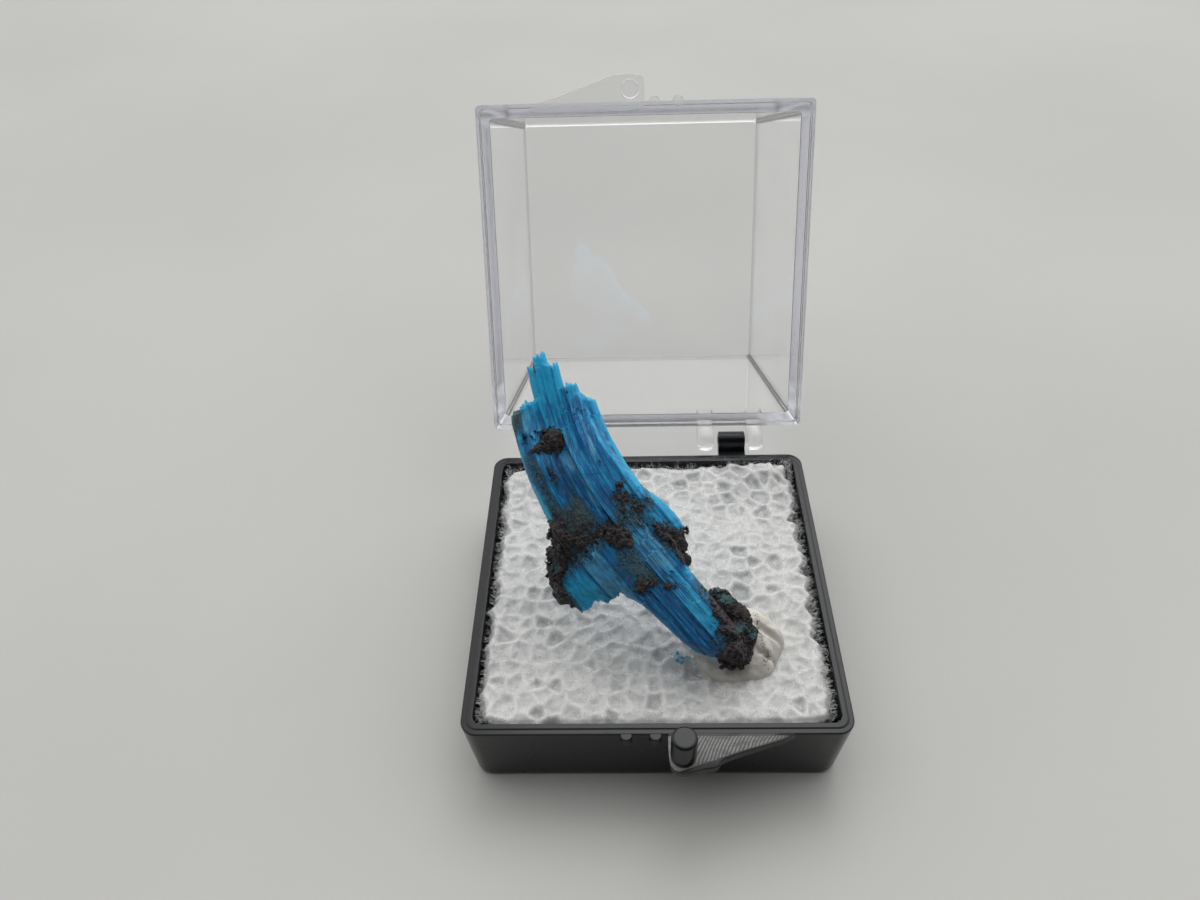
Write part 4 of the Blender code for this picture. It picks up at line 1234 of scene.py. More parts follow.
@dataclass
class Putty:
    """Lump of putty that holds the foot, squeezed by fingers, with a thin smear to its left.

    Its outline is a reach for each direction, and its height falls from a crown for each direction.
    """

    pad: FoamPad
    centre: tuple[float, float] = (8.0, -7.3)
    base: float = 6.9
    rows: int = 120
    columns: int = 220
    reaches: Sequence[tuple[float, float, float]] = (
        (0, 3.1, 2.5), (45, 3.5, 2.75), (90, 3.3, 2.8), (135, 3.2, 2.4), (160, 4.4, 1.2), (172, 5.8, 0.85),
        (183, 5.5, 0.8), (195, 5.0, 0.8), (212, 4.5, 0.85), (226, 4.1, 0.95), (240, 3.8, 1.1), (262, 3.5, 1.35),
        (290, 3.2, 1.9), (318, 3.0, 2.3), (360, 3.1, 2.5))
    creases: Sequence[tuple[float, float, float, float, float]] = (
        (8.4, -6.5, 11.0, -7.75, 0.50), (8.8, -8.8, 10.5, -9.35, 0.40), (8.3, -10.1, 9.7, -10.5, 0.20),
        (3.0, -8.2, 7.5, -10.7, 0.12), (4.2, -9.3, 8.0, -10.9, 0.10), (9.6, -9.2, 9.4, -10.2, 0.2))

    def height(self, x: np.ndarray, y: np.ndarray) -> tuple[np.ndarray, np.ndarray]:
        """Height of the putty at places, and the share of the reach that they lie at.

        The crown times the square root of one less the share's power; creases are soft grooves
        along lines; noise gives finger marks.
        """
        dx, dy = x - self.centre[0], y - self.centre[1]
        angle = np.degrees(np.arctan2(dy, dx)) % 360
        table = np.array(self.reaches).T
        spread = np.interp(angle, table[0], table[1]) * (1 + 0.05 * np.sin(np.radians(angle * 5 + 40)))
        share = np.hypot(dx, dy) / spread
        crown = np.interp(angle, table[0], table[2])
        body = crown * np.clip(1 - share**2.6, 0, 1) ** 0.5
        flat = np.stack([x, y, 0 * x], axis=-1)
        body = body + (0.16 * fractal(flat / 1.5, 2, 4) + 0.05 * fractal(flat / 0.45, 3, 9)) * np.clip(body, 0, 1)
        for x0, y0, x1, y1, deep in self.creases:
            run = np.array((x1 - x0, y1 - y0))
            along = np.clip(((x - x0) * run[0] + (y - y0) * run[1]) / (run @ run), 0, 1)
            away = np.hypot(x - x0 - along * run[0], y - y0 - along * run[1])
            body = body - deep * np.exp(-(away / 0.28) ** 2) * np.sin(math.pi * np.clip(along, 0.06, 0.94)) ** 0.5
        ground = self.pad.level(x, y) - self.base
        return self.base + np.maximum(body, (ground + 0.12) * (1 - step_up(share, 0.9, 1.0))), share

    def lump(self) -> Surface:
        """Height over rings of the outline, closed underneath."""
        turn = np.linspace(0, 2 * math.pi, self.columns, endpoint=False)[None, :]
        share = np.sin(np.linspace(0.01, math.pi / 2, self.rows))[:, None]
        table = np.array(self.reaches).T
        spread = np.interp(np.degrees(turn), table[0], table[1])
        spread = spread * (1 + 0.05 * np.sin(5 * turn + math.radians(40)))
        x = self.centre[0] + share * spread * np.cos(turn)
        y = self.centre[1] + share * spread * np.sin(turn)
        top = np.stack([x, y, self.height(x, y)[0]], axis=-1)
        under = np.stack([x, y, np.full_like(x, self.base - 0.1)], axis=-1)[::-8]
        return Surface.grid(np.concatenate([top, under]) * MM, around=True, capped=True).outward()

    def build(self) -> None:
        """Add the putty, the dark grains pressed into it and the crumbs of crystal beside it."""
        add_piece("putty_lump", self.lump().mesh("putty_lump", True), PuttyFinish(), Body.TRAY,
                  ["putty"])
        rng = np.random.default_rng(12)
        along = rng.uniform(0, 1, 320)
        patch = rng.random(320) < 0.25
        x = np.where(patch, 9.55, 8.8 + 0.5 * along) + rng.normal(0, 0.12, 320)
        y = np.where(patch, -9.0, -5.8 - 4.0 * along) + rng.normal(0, 0.18, 320)
        spots = np.stack([x, y, self.height(x, y)[0]], axis=-1)
        grains = strewn(spots * MM, rng.uniform(0.012, 0.042, 320) * MM, rng, dust=0.0)
        add_piece("putty_grains", grains.mesh("putty_grains", False), MatrixRock(), Body.TRAY)
        x, y = rng.normal(2.2, 0.35, 14), rng.normal(-8.7, 0.25, 14)
        spots = np.stack([x, y, np.maximum(self.height(x, y)[0], self.pad.level(x, y)) + 0.05], axis=-1)
        # Crumbs: full thin mark, a painted glow of light shining through, and full frost, pale with painted sheen.
        crumbs = strewn(spots * MM, rng.uniform(0.06, 0.18, 14) * MM, rng, tone=1.1, thin=1.0, stain=0.0, frost=1.0)
        add_piece("crystal_crumbs", crumbs.mesh("crystal_crumbs", False), BlueCrystal(), Body.TRAY)


# Specimen


@dataclass
class Bundle:
    """Plane and fibre flow of the specimen: a middle line whose heading eases from foot to tip."""

    foot: tuple[float, float, float] = (7.23, -10.16, 8.27)
    lean: float = 45.8
    turn: float = 2.27
    roll: float = -2.31
    start: tuple[float, float] = (0.915, -0.787)
    headings: tuple[float, float] = (40.9, 10.6)
    bend: tuple[float, float] = (13.2, 34.6)
    lower: Sequence[tuple[float, float]] = (
        (-8.4, 15.0), (-7.9, 14.5), (-7.4, 14.2), (-7.2, 13.2), (-5.4, 13.1), (-5.2, 12.45), (-3.65, 12.35),
        (-3.45, 11.5), (-3.05, 10.7), (-2.95, 9.8), (-2.7, 7.8), (-2.5, 5.8), (-2.2, 4.6), (-1.7, 3.8), (-1.2, 3.1),
        (-0.6, 2.1), (0.1, 1.5), (0.5, 1.5), (1.2, 2.0), (1.75, 3.0), (1.85, 9.9), (2.05, 10.6), (2.4, 11.2),
        (2.5, 12.2), (3.3, 12.6), (3.85, 13.0), (4.05, 13.9))
    upper: Sequence[tuple[float, float]] = (
        (-8.4, 15.2), (-7.9, 15.9), (-7.5, 16.9), (-6.6, 17.3), (-5.9, 18.3), (-5.2, 19.2), (-4.75, 20.3),
        (-4.62, 21.6), (-4.5, 23.2), (-4.35, 25.0), (-4.15, 26.6), (-4.05, 27.4), (-4.0, 28.0), (-3.8, 28.7),
        (-3.4, 29.0), (-2.5, 29.0), (-2.4, 29.35), (-1.64, 29.3), (-1.6, 31.85), (-1.0, 31.95), (-0.96, 32.75),
        (0.08, 32.8), (0.12, 31.9), (0.5, 31.8), (0.75, 32.05), (0.97, 31.9), (1.01, 29.4), (1.25, 29.85),
        (2.12, 29.9), (2.16, 28.8), (2.5, 28.6), (2.7, 28.05), (3.15, 27.85), (3.24, 27.3), (3.34, 18.6),
        (3.55, 17.6), (3.9, 16.6), (4.0, 15.5), (4.05, 14.0))
    front_upper: Sequence[tuple[float, float]] = (
        (-8.4, 15.0), (-6.6, 16.2), (-5.0, 18.8), (-4.2, 26.3), (-3.0, 28.0), (-1.7, 26.6), (0.6, 26.0),
        (1.0, 27.9), (2.2, 27.8), (3.0, 22.5), (4.2, 16.5))

    def __post_init__(self) -> None:
        """Work out the middle line, the turn into the box's frame and the tables of ends."""
        self.line = np.arange(0.0, 36.0, 0.05)
        ease = step_up(self.line, *self.bend)
        self.heading = np.radians(self.headings[0] + (self.headings[1] - self.headings[0]) * ease)
        steps = np.stack([-np.sin(self.heading), np.cos(self.heading)], axis=1) * 0.05
        self.middle = np.array(self.start) + np.cumsum(steps, axis=0) - steps
        turn = Matrix.Rotation(math.radians(self.turn), 4, "Z")
        tip = Matrix.Rotation(math.pi / 2 - math.radians(self.lean), 4, "X")
        roll = Matrix.Rotation(math.radians(self.roll), 4, "Z")
        self.matrix = Matrix.Translation(Vector(self.foot)) @ turn @ tip @ roll
        self.low_table, self.high_table, self.front_table = (
            np.array(table).T for table in (self.lower, self.upper, self.front_upper))

    def plane(self, along: np.ndarray, across: np.ndarray, depth: np.ndarray) -> np.ndarray:
        """Points in the bundle's plane from distance along, offset to the right and depth to the front."""
        heading = np.interp(along, self.line, self.heading)
        x = np.interp(along, self.line, self.middle[:, 0]) + across * np.cos(heading)
        y = np.interp(along, self.line, self.middle[:, 1]) + across * np.sin(heading)
        return np.stack(np.broadcast_arrays(x, y, depth), axis=-1)

    def placed(self, surface: Surface) -> Surface:
        """A surface of the plane, in millimetres, put into the box's frame in metres."""
        return surface.moved(Matrix.Scale(MM, 4) @ self.matrix)

    def thin_out(self, across: np.ndarray) -> np.ndarray:
        """How thick the bundle is across it, against its middle."""
        return 1 - 0.55 * np.minimum(1, np.abs(across + 0.8) / 6.5) ** 1.5

    def front(self, along: np.ndarray, across: np.ndarray) -> np.ndarray:
        """Depth of the front face: the middle layer, and the front layer where it covers it."""
        high = np.interp(across, *self.front_table)
        low = np.interp(across, *self.low_table) + 0.5
        cover = step_up(high - along, -1.0, 4.5) * step_up(along - low, -0.3, 1.5)
        return self.thin_out(across) * (1.1 + 1.15 * cover)

    def back(self, along: np.ndarray, across: np.ndarray) -> np.ndarray:
        """Depth of the back face, negative."""
        high = np.interp(across, *self.high_table) - 2.5
        low = np.maximum(np.interp(across, *self.low_table) + 0.9, 4.4)
        cover = step_up(high - along, -0.5, 3.0) * step_up(along - low, -0.3, 1.5)
        return -self.thin_out(across) * (1.1 + 1.15 * cover)


@dataclass(frozen=True)
class Plate:
    """Broken plate on the front: its place across and along, and how proud it stands."""

    left: float
    right: float
    low: float
    high: float
    rise: float


@dataclass(frozen=True)
class Patch:
    """Soft-edged region of the front: its place across and along, lightness, staining, and frosting that is pale fibres
    with painted sheen.
    """

    left: float
    right: float
    low: float
    high: float
    tone: float
    stain: float
    frost: float
    soft: float = 0.35


def since_outside(inside: np.ndarray, axis: int, backwards: bool = False) -> np.ndarray:
    """Steps along an axis of a mask since the last place outside it, 0 there."""
    mask = np.flip(inside, axis) if backwards else inside
    count = np.arange(1, mask.shape[axis] + 1)
    count = count[:, None] if axis == 0 else count[None, :]
    steps = count - np.maximum.accumulate(np.where(mask, 0, count), axis=axis)
    return np.flip(steps, axis) if backwards else steps


@dataclass
class Slab:
    """Front and back depths over a grid of the flow, and the marks of its points."""

    bundle: Bundle
    along: np.ndarray
    across: np.ndarray
    front: np.ndarray
    back: np.ndarray
    marks: dict[str, np.ndarray]

    def cells_of(self, inside: np.ndarray) -> np.ndarray:
        """Cells whose four corners are inside."""
        return inside[:-1, :-1] & inside[:-1, 1:] & inside[1:, 1:] & inside[1:, :-1]

    def solid(self, kept: np.ndarray, wall_rows: int) -> Surface:
        """Closed solid over kept cells of the grid: front, back, and a wall of rows between their rims.

        The rows of the wall lie evenly between the rims and wander by noise of depth, along and
        across, so that its sides are ribbed and its ends are ragged.

        Args:
            kept: Array of the grid's cells that belong to it.
            wall_rows: Rows of points between the rims.

        Returns:
            The solid in the bundle's plane, in millimetres.
        """
        index = np.arange(self.along.size).reshape(self.along.shape)
        cells = np.stack([index[:-1, :-1], index[:-1, 1:], index[1:, 1:], index[1:, :-1]], axis=-1)[kept]
        edges = np.concatenate([cells[:, [0, 1]], cells[:, [1, 2]], cells[:, [2, 3]], cells[:, [3, 0]]])
        twins = edges[:, 1] * index.size + edges[:, 0]
        rim = edges[~np.isin(edges[:, 0] * index.size + edges[:, 1], twins)]
        used, bound = np.unique(cells), np.unique(rim)
        along, across, front, back = (values.ravel() for values in (self.along, self.across, self.front, self.back))
        share = np.linspace(0, 1, wall_rows + 2)[1:-1, None]
        deep = front[bound] * (1 - share) + back[bound] * share
        s, t = (np.broadcast_to(values[bound], deep.shape) for values in (along, across))
        sway = np.sin(math.pi * share) ** 0.5
        wall = [s + 0.22 * sway * soft_noise(np.stack([t / 0.16, deep / 0.3, 0 * t], axis=-1), 72),
                t + 0.10 * sway * soft_noise(np.stack([s / 4.0, deep / 0.28, 0 * t], axis=-1), 71), deep]
        every = [np.concatenate([first[used], second[used], third.ravel()])
                 for first, second, third in ((along, along, wall[0]), (across, across, wall[1]), (front, back, deep))]
        marks = {name: np.concatenate([values.ravel()[used], values.ravel()[used],
                                       np.broadcast_to(values.ravel()[bound], deep.shape).ravel()])
                 for name, values in self.marks.items()}
        at = np.searchsorted(used, cells)
        rows = 2 * len(used) + np.arange(wall_rows * len(bound)).reshape(wall_rows, -1)
        rim_front = np.searchsorted(used, rim)
        on_wall = np.searchsorted(bound, rim)
        chain = [rim_front, *(row[on_wall] for row in rows), rim_front + len(used)]
        walls = [np.stack([upper[:, 1], upper[:, 0], lower[:, 0], lower[:, 1]], axis=1)
                 for upper, lower in zip(chain, chain[1:])]
        quads = np.concatenate([at, at[:, ::-1] + len(used), *walls])
        flat = np.stack([every[1] + 0.8 * every[2], every[0]], axis=1)
        return Surface(self.bundle.plane(*every), quads, marks=marks, flat=flat).outward()


@dataclass
class Crystal:
    """Fibrous body: two height fields over its jagged outline, stepped along the fibres, and a wall."""

    bundle: Bundle
    seed: int = 21
    steps: tuple[float, float] = (0.075, 0.035)
    along_span: tuple[float, float] = (1.0, 33.2)
    across_span: tuple[float, float] = (-8.3, 4.3)
    cut: float = 16.6
    edge: float = 0.75
    wall_rows: int = 7
    plates: Sequence[Plate] = (
        Plate(-4.8, -0.35, 17.0, 26.4, -0.20), Plate(-1.15, -0.35, 19.0, 24.6, -0.09),
        Plate(-0.35, 3.4, 17.2, 26.3, 0.13), Plate(-4.4, -2.9, 26.6, 29.2, 0.12),
        Plate(0.15, 1.05, 27.5, 32.5, -0.12), Plate(1.0, 2.2, 27.0, 30.2, 0.10),
        Plate(-8.3, -2.7, 11.5, 16.4, 0.05), Plate(-4.5, -2.9, 12.3, 16.4, 0.14),
        Plate(-0.35, 1.0, 4.6, 13.6, 0.15), Plate(0.25, 1.4, 11.4, 14.8, 0.10),
        Plate(1.5, 4.3, 12.8, 18.4, -0.10), Plate(-2.9, -1.6, 3.0, 11.2, -0.12))
    patches: Sequence[Patch] = (
        Patch(-5.0, 3.6, 28.4, 34.0, 0.94, 0.05, 0.10), Patch(-1.7, 0.8, 26.2, 28.8, 0.62, 0.0, 0.0),
        Patch(0.1, 2.3, 28.0, 33.0, 0.80, 0.0, 0.15), Patch(-3.2, -1.6, 23.8, 28.6, 0.52, 0.12, 0.30),
        Patch(-4.5, -3.0, 26.8, 29.2, 0.45, 0.72, 0.10, 0.2), Patch(-3.1, -2.6, 26.6, 28.6, 0.75, 0.1, 0.45, 0.2),
        Patch(-4.8, -3.9, 18.5, 26.6, 0.74, 0.20, 0.30, 0.25), Patch(-4.2, -3.2, 19.6, 25.2, 0.45, 0.62, 0.20),
        # Patch(-2.6, -1.0, 16.8, 24.2): dark navy column, its low tone painted shade.
        Patch(-2.6, -1.0, 16.8, 24.2, 0.20, 0.30, 0.02), Patch(-0.4, 2.7, 17.0, 26.4, 0.52, 0.02, 0.06),
        Patch(2.5, 3.5, 17.5, 27.8, 0.70, 0.0, 0.12), Patch(-0.5, 0.9, 16.6, 20.4, 0.26, 0.05, 0.0, 0.5),
        Patch(1.25, 1.7, 22.6, 24.6, 0.72, 0.0, 0.62, 0.15), Patch(-1.15, -0.55, 22.0, 24.3, 0.66, 0.0, 0.55, 0.15),
        # Patch(-3.7, -1.4, 18.0, 20.6): greenish-black area, its low tone and high stain painted shade.
        Patch(-0.75, -0.3, 19.0, 22.2, 0.70, 0.0, 0.50, 0.15), Patch(-3.7, -1.4, 18.0, 20.6, 0.20, 0.92, 0.05),
        Patch(0.3, 2.1, 15.4, 19.2, 0.42, 0.66, 0.15), Patch(2.0, 4.3, 13.3, 18.4, 0.62, 0.12, 0.12),
        Patch(1.2, 3.2, 12.2, 14.4, 0.40, 0.75, 0.10), Patch(-7.6, -4.4, 11.8, 16.6, 0.76, 0.16, 0.12),
        Patch(-4.6, -2.8, 12.0, 16.8, 0.55, 0.22, 0.46), Patch(-8.4, -6.9, 13.6, 17.0, 0.40, 0.62, 0.10),
        Patch(-2.9, -1.7, 11.8, 15.2, 0.44, 0.50, 0.20), Patch(-0.4, 1.6, 11.6, 15.8, 0.62, 0.26, 0.42),
        Patch(-1.9, -0.4, 11.4, 15.4, 0.25, 0.66, 0.12), Patch(-8.0, 3.4, 16.2, 17.8, 0.35, 0.62, 0.20),
        Patch(-2.0, -0.25, 2.0, 11.4, 0.24, 0.18, 0.08), Patch(-3.1, -2.0, 3.6, 11.8, 0.38, 0.20, 0.16),
        Patch(-0.3, 1.05, 4.6, 12.2, 0.72, 0.08, 0.30), Patch(1.0, 2.0, 6.4, 9.4, 0.45, 0.62, 0.20),
        Patch(-0.6, 3.0, 1.0, 5.2, 0.30, 0.60, 0.10))

    def strips(self, along: np.ndarray, across: np.ndarray, width: float, length: float, seed: int) -> np.ndarray:
        """Value from -1 to 1 that stays the same over each piece of strips of uneven width.

        A strip's number is found from across in a sorted row of edges; its pieces are counted along
        it from a length, a phase and a slant of its own; both numbers are hashed.

        Args:
            along: Distances along the fibres.
            across: Offsets across them.
            width: Mean width of a strip.
            length: Mean length of a piece.
            seed: Number of the pattern.

        Returns:
            The values.
        """
        rng = np.random.default_rng(seed)
        edges = np.cumsum(rng.uniform(0.4, 1.6, int(13.5 / width) + 2) * width) - 9.0
        number = np.searchsorted(edges, across)
        phase, stretch, slant = (rng.uniform(low, high, len(edges) + 1) for low, high in ((0, 9), (0.5, 1.7), (-1, 1)))
        piece = (along + slant[number] * (across % width)) / (length * stretch[number]) + phase[number]
        return 2 * hashed(np.stack([number, np.floor(piece), 0 * number], axis=-1), seed) - 1

    def noise(self, along: np.ndarray, across: np.ndarray, length: float, width: float, seed: int) -> np.ndarray:
        """Soft noise stretched along the fibres."""
        return soft_noise(np.stack([along / length, across / width, np.full_like(along, 0.5)], axis=-1), seed)

    def lay_out(self) -> Slab:
        """Work out the grid, which of its points are inside, both faces and the marks."""
        along, across = np.meshgrid(np.arange(*self.along_span, self.steps[0]),
                                    np.arange(*self.across_span, self.steps[1]), indexing="ij")
        bundle = self.bundle
        chipped = [0.24 * np.abs(self.strips(0 * along, across, 0.34, 1.0, self.seed + side))
                   + 0.26 * np.abs(self.strips(0 * along, across, 0.13, 1.0, self.seed + 2 + side)) ** 1.5
                   for side in (0, 1)]
        low = np.interp(across, *bundle.low_table) + chipped[0] * 0.6
        high = np.interp(across, *bundle.high_table) - chipped[1]
        self.inside = (along > low) & (along < high)
        beside = np.minimum(since_outside(self.inside, 1), since_outside(self.inside, 1, True)) * self.steps[1]
        ahead = np.minimum(since_outside(self.inside, 0), since_outside(self.inside, 0, True)) * self.steps[0]
        rounding = 0.36 + 0.64 * (1 - (1 - np.clip(beside / self.edge, 0, 1)) ** 2.4) ** 0.6
        rounding = rounding * (0.74 + 0.26 * np.clip(ahead / 0.35, 0, 1) ** 0.6)
        marks = self.paint(along, across, beside, ahead)
        relief = self.relief(along, across, 1)
        rough = fractal(bundle.plane(along, across, 0 * along) / 0.3, 3, 91)
        relief = relief + marks["stain"] ** 2 * 0.07 * rough
        front = np.maximum(bundle.front(along, across) * rounding + relief * np.clip(rounding, 0, 1), 0.12)
        behind = self.relief(along, across, -1) + 0.05 * rough
        back = np.minimum(bundle.back(along, across) * rounding - behind * rounding, -0.12)
        # Painted light and shade: raised plates lighter, with a painted highlight, and sunken plates darker.
        raised = relief - self.smoothed(relief, 9)
        marks["tone"] += np.clip(raised / 0.22, -0.16, 0.16)
        marks["frost"] += np.clip(raised / 0.35, 0.0, 0.16)
        return Slab(bundle, along, across, front, back, marks)

    @staticmethod
    def smoothed(values: np.ndarray, reach: int) -> np.ndarray:
        """Mean over a run of columns either side, from differences of a running sum."""
        padded = np.pad(values, ((0, 0), (reach + 1, reach)), mode="edge")
        total = np.cumsum(padded, axis=1)
        return (total[:, 2 * reach + 1:] - total[:, :-2 * reach - 1]) / (2 * reach + 1)

    def relief(self, along: np.ndarray, across: np.ndarray, facing: int) -> np.ndarray:
        """Height over the smooth face: plates, then strips at three widths, then fine ribs."""
        seed = self.seed + (10 if facing > 0 else 40)
        across = across + 0.12 * self.noise(along, across, 7.0, 3.0, seed)
        rise = 0.055 * self.strips(along, across, 1.5, 15.0, seed + 1)
        rise += 0.026 * self.strips(along, across, 0.6, 9.0, seed + 2)
        rise += 0.018 * self.strips(along, across, 0.22, 6.0, seed + 3)
        rise += 0.040 * self.noise(along, across, 8.0, 0.6, seed + 4)
        rise += 0.018 * self.noise(along, across, 3.5, 0.15, seed + 5)
        if facing < 0:
            return rise
        chip = 0.30 * self.strips(0 * along, across, 0.2, 1.0, seed + 6)
        for plate_ in self.plates:
            held = (across > plate_.left) & (across < plate_.right)
            held = held & (along > plate_.low + chip) & (along < plate_.high + chip)
            rise = rise + np.where(held, plate_.rise, 0.0)
        return rise

    def paint(self, along: np.ndarray, across: np.ndarray, beside: np.ndarray,
              ahead: np.ndarray) -> dict[str, np.ndarray]:
        """Marks of the surface: patches laid over each other with wandering edges, then strips of tone.

        Args:
            along: Distances along the fibres.
            across: Offsets across them.
            beside: Distance to the outline across the fibres.
            ahead: Distance to the outline along the fibres.

        Returns:
            Arrays tone, stain, frost and thin, by name: frost is pale fibres with painted sheen, and thin is a painted
            glow of light shining through.
        """
        t = across + 0.28 * self.noise(along, across, 2.2, 0.5, 61) + 0.12 * self.noise(along, across, 0.5, 0.25, 62)
        s = along + 0.85 * self.noise(along, across, 2.0, 0.30, 63) + 0.25 * self.noise(along, across, 0.5, 0.12, 64)
        tone, stain, frost = np.full_like(t, 0.45), np.full_like(t, 0.12), np.full_like(t, 0.10)
        for patch in self.patches:
            share = (step_up(t - patch.left, -patch.soft, patch.soft) * step_up(patch.right - t, -patch.soft, patch.soft)
                     * step_up(s - patch.low, -0.6, 0.6) * step_up(patch.high - s, -0.6, 0.6))
            tone += share * (patch.tone - tone)
            stain += share * (patch.stain - stain)
            frost += share * (patch.frost - frost)
        tone += 0.06 * self.strips(along, across, 0.6, 8.0, self.seed + 12)
        tone += 0.04 * self.strips(along, across, 0.2, 6.0, self.seed + 13)
        # Thin mark, a painted glow of light shining through: high near the outline and towards the right side.
        thin = np.maximum(np.exp(-beside / 0.28), 0.8 * np.exp(-ahead / 0.5))
        thin = np.maximum(thin, 0.32 * step_up(across, 1.2, 3.6))
        return {"tone": tone, "stain": stain, "frost": frost, "thin": thin * (1 - 0.6 * stain)}

    def depth_along(self, along: np.ndarray, across: np.ndarray) -> tuple[np.ndarray, np.ndarray]:
        """Depth of the front face at places of the flow, and whether the crystal is there."""
        row = np.clip(((along - self.along_span[0]) / self.steps[0]).astype(int), 0, self.slab.along.shape[0] - 1)
        column = np.clip(((across - self.across_span[0]) / self.steps[1]).astype(int), 0, self.slab.along.shape[1] - 1)
        return self.slab.front[row, column], self.inside[row, column]

    def build(self) -> None:
        """Add the crystal's two pieces, cut where the rock band crosses it."""
        self.slab = self.lay_out()
        cells = self.slab.cells_of(self.inside)
        upper = self.slab.along[:-1, :-1] > self.cut
        for name, kept in (("crystal_upper", cells & upper), ("crystal_lower", cells & ~upper)):
            mesh = self.bundle.placed(self.slab.solid(kept, self.wall_rows)).mesh(name, False)
            add_piece(name, mesh, BlueCrystal(), Body.TRAY,
                      ["chalcanthite"] if name == "crystal_upper" else [])


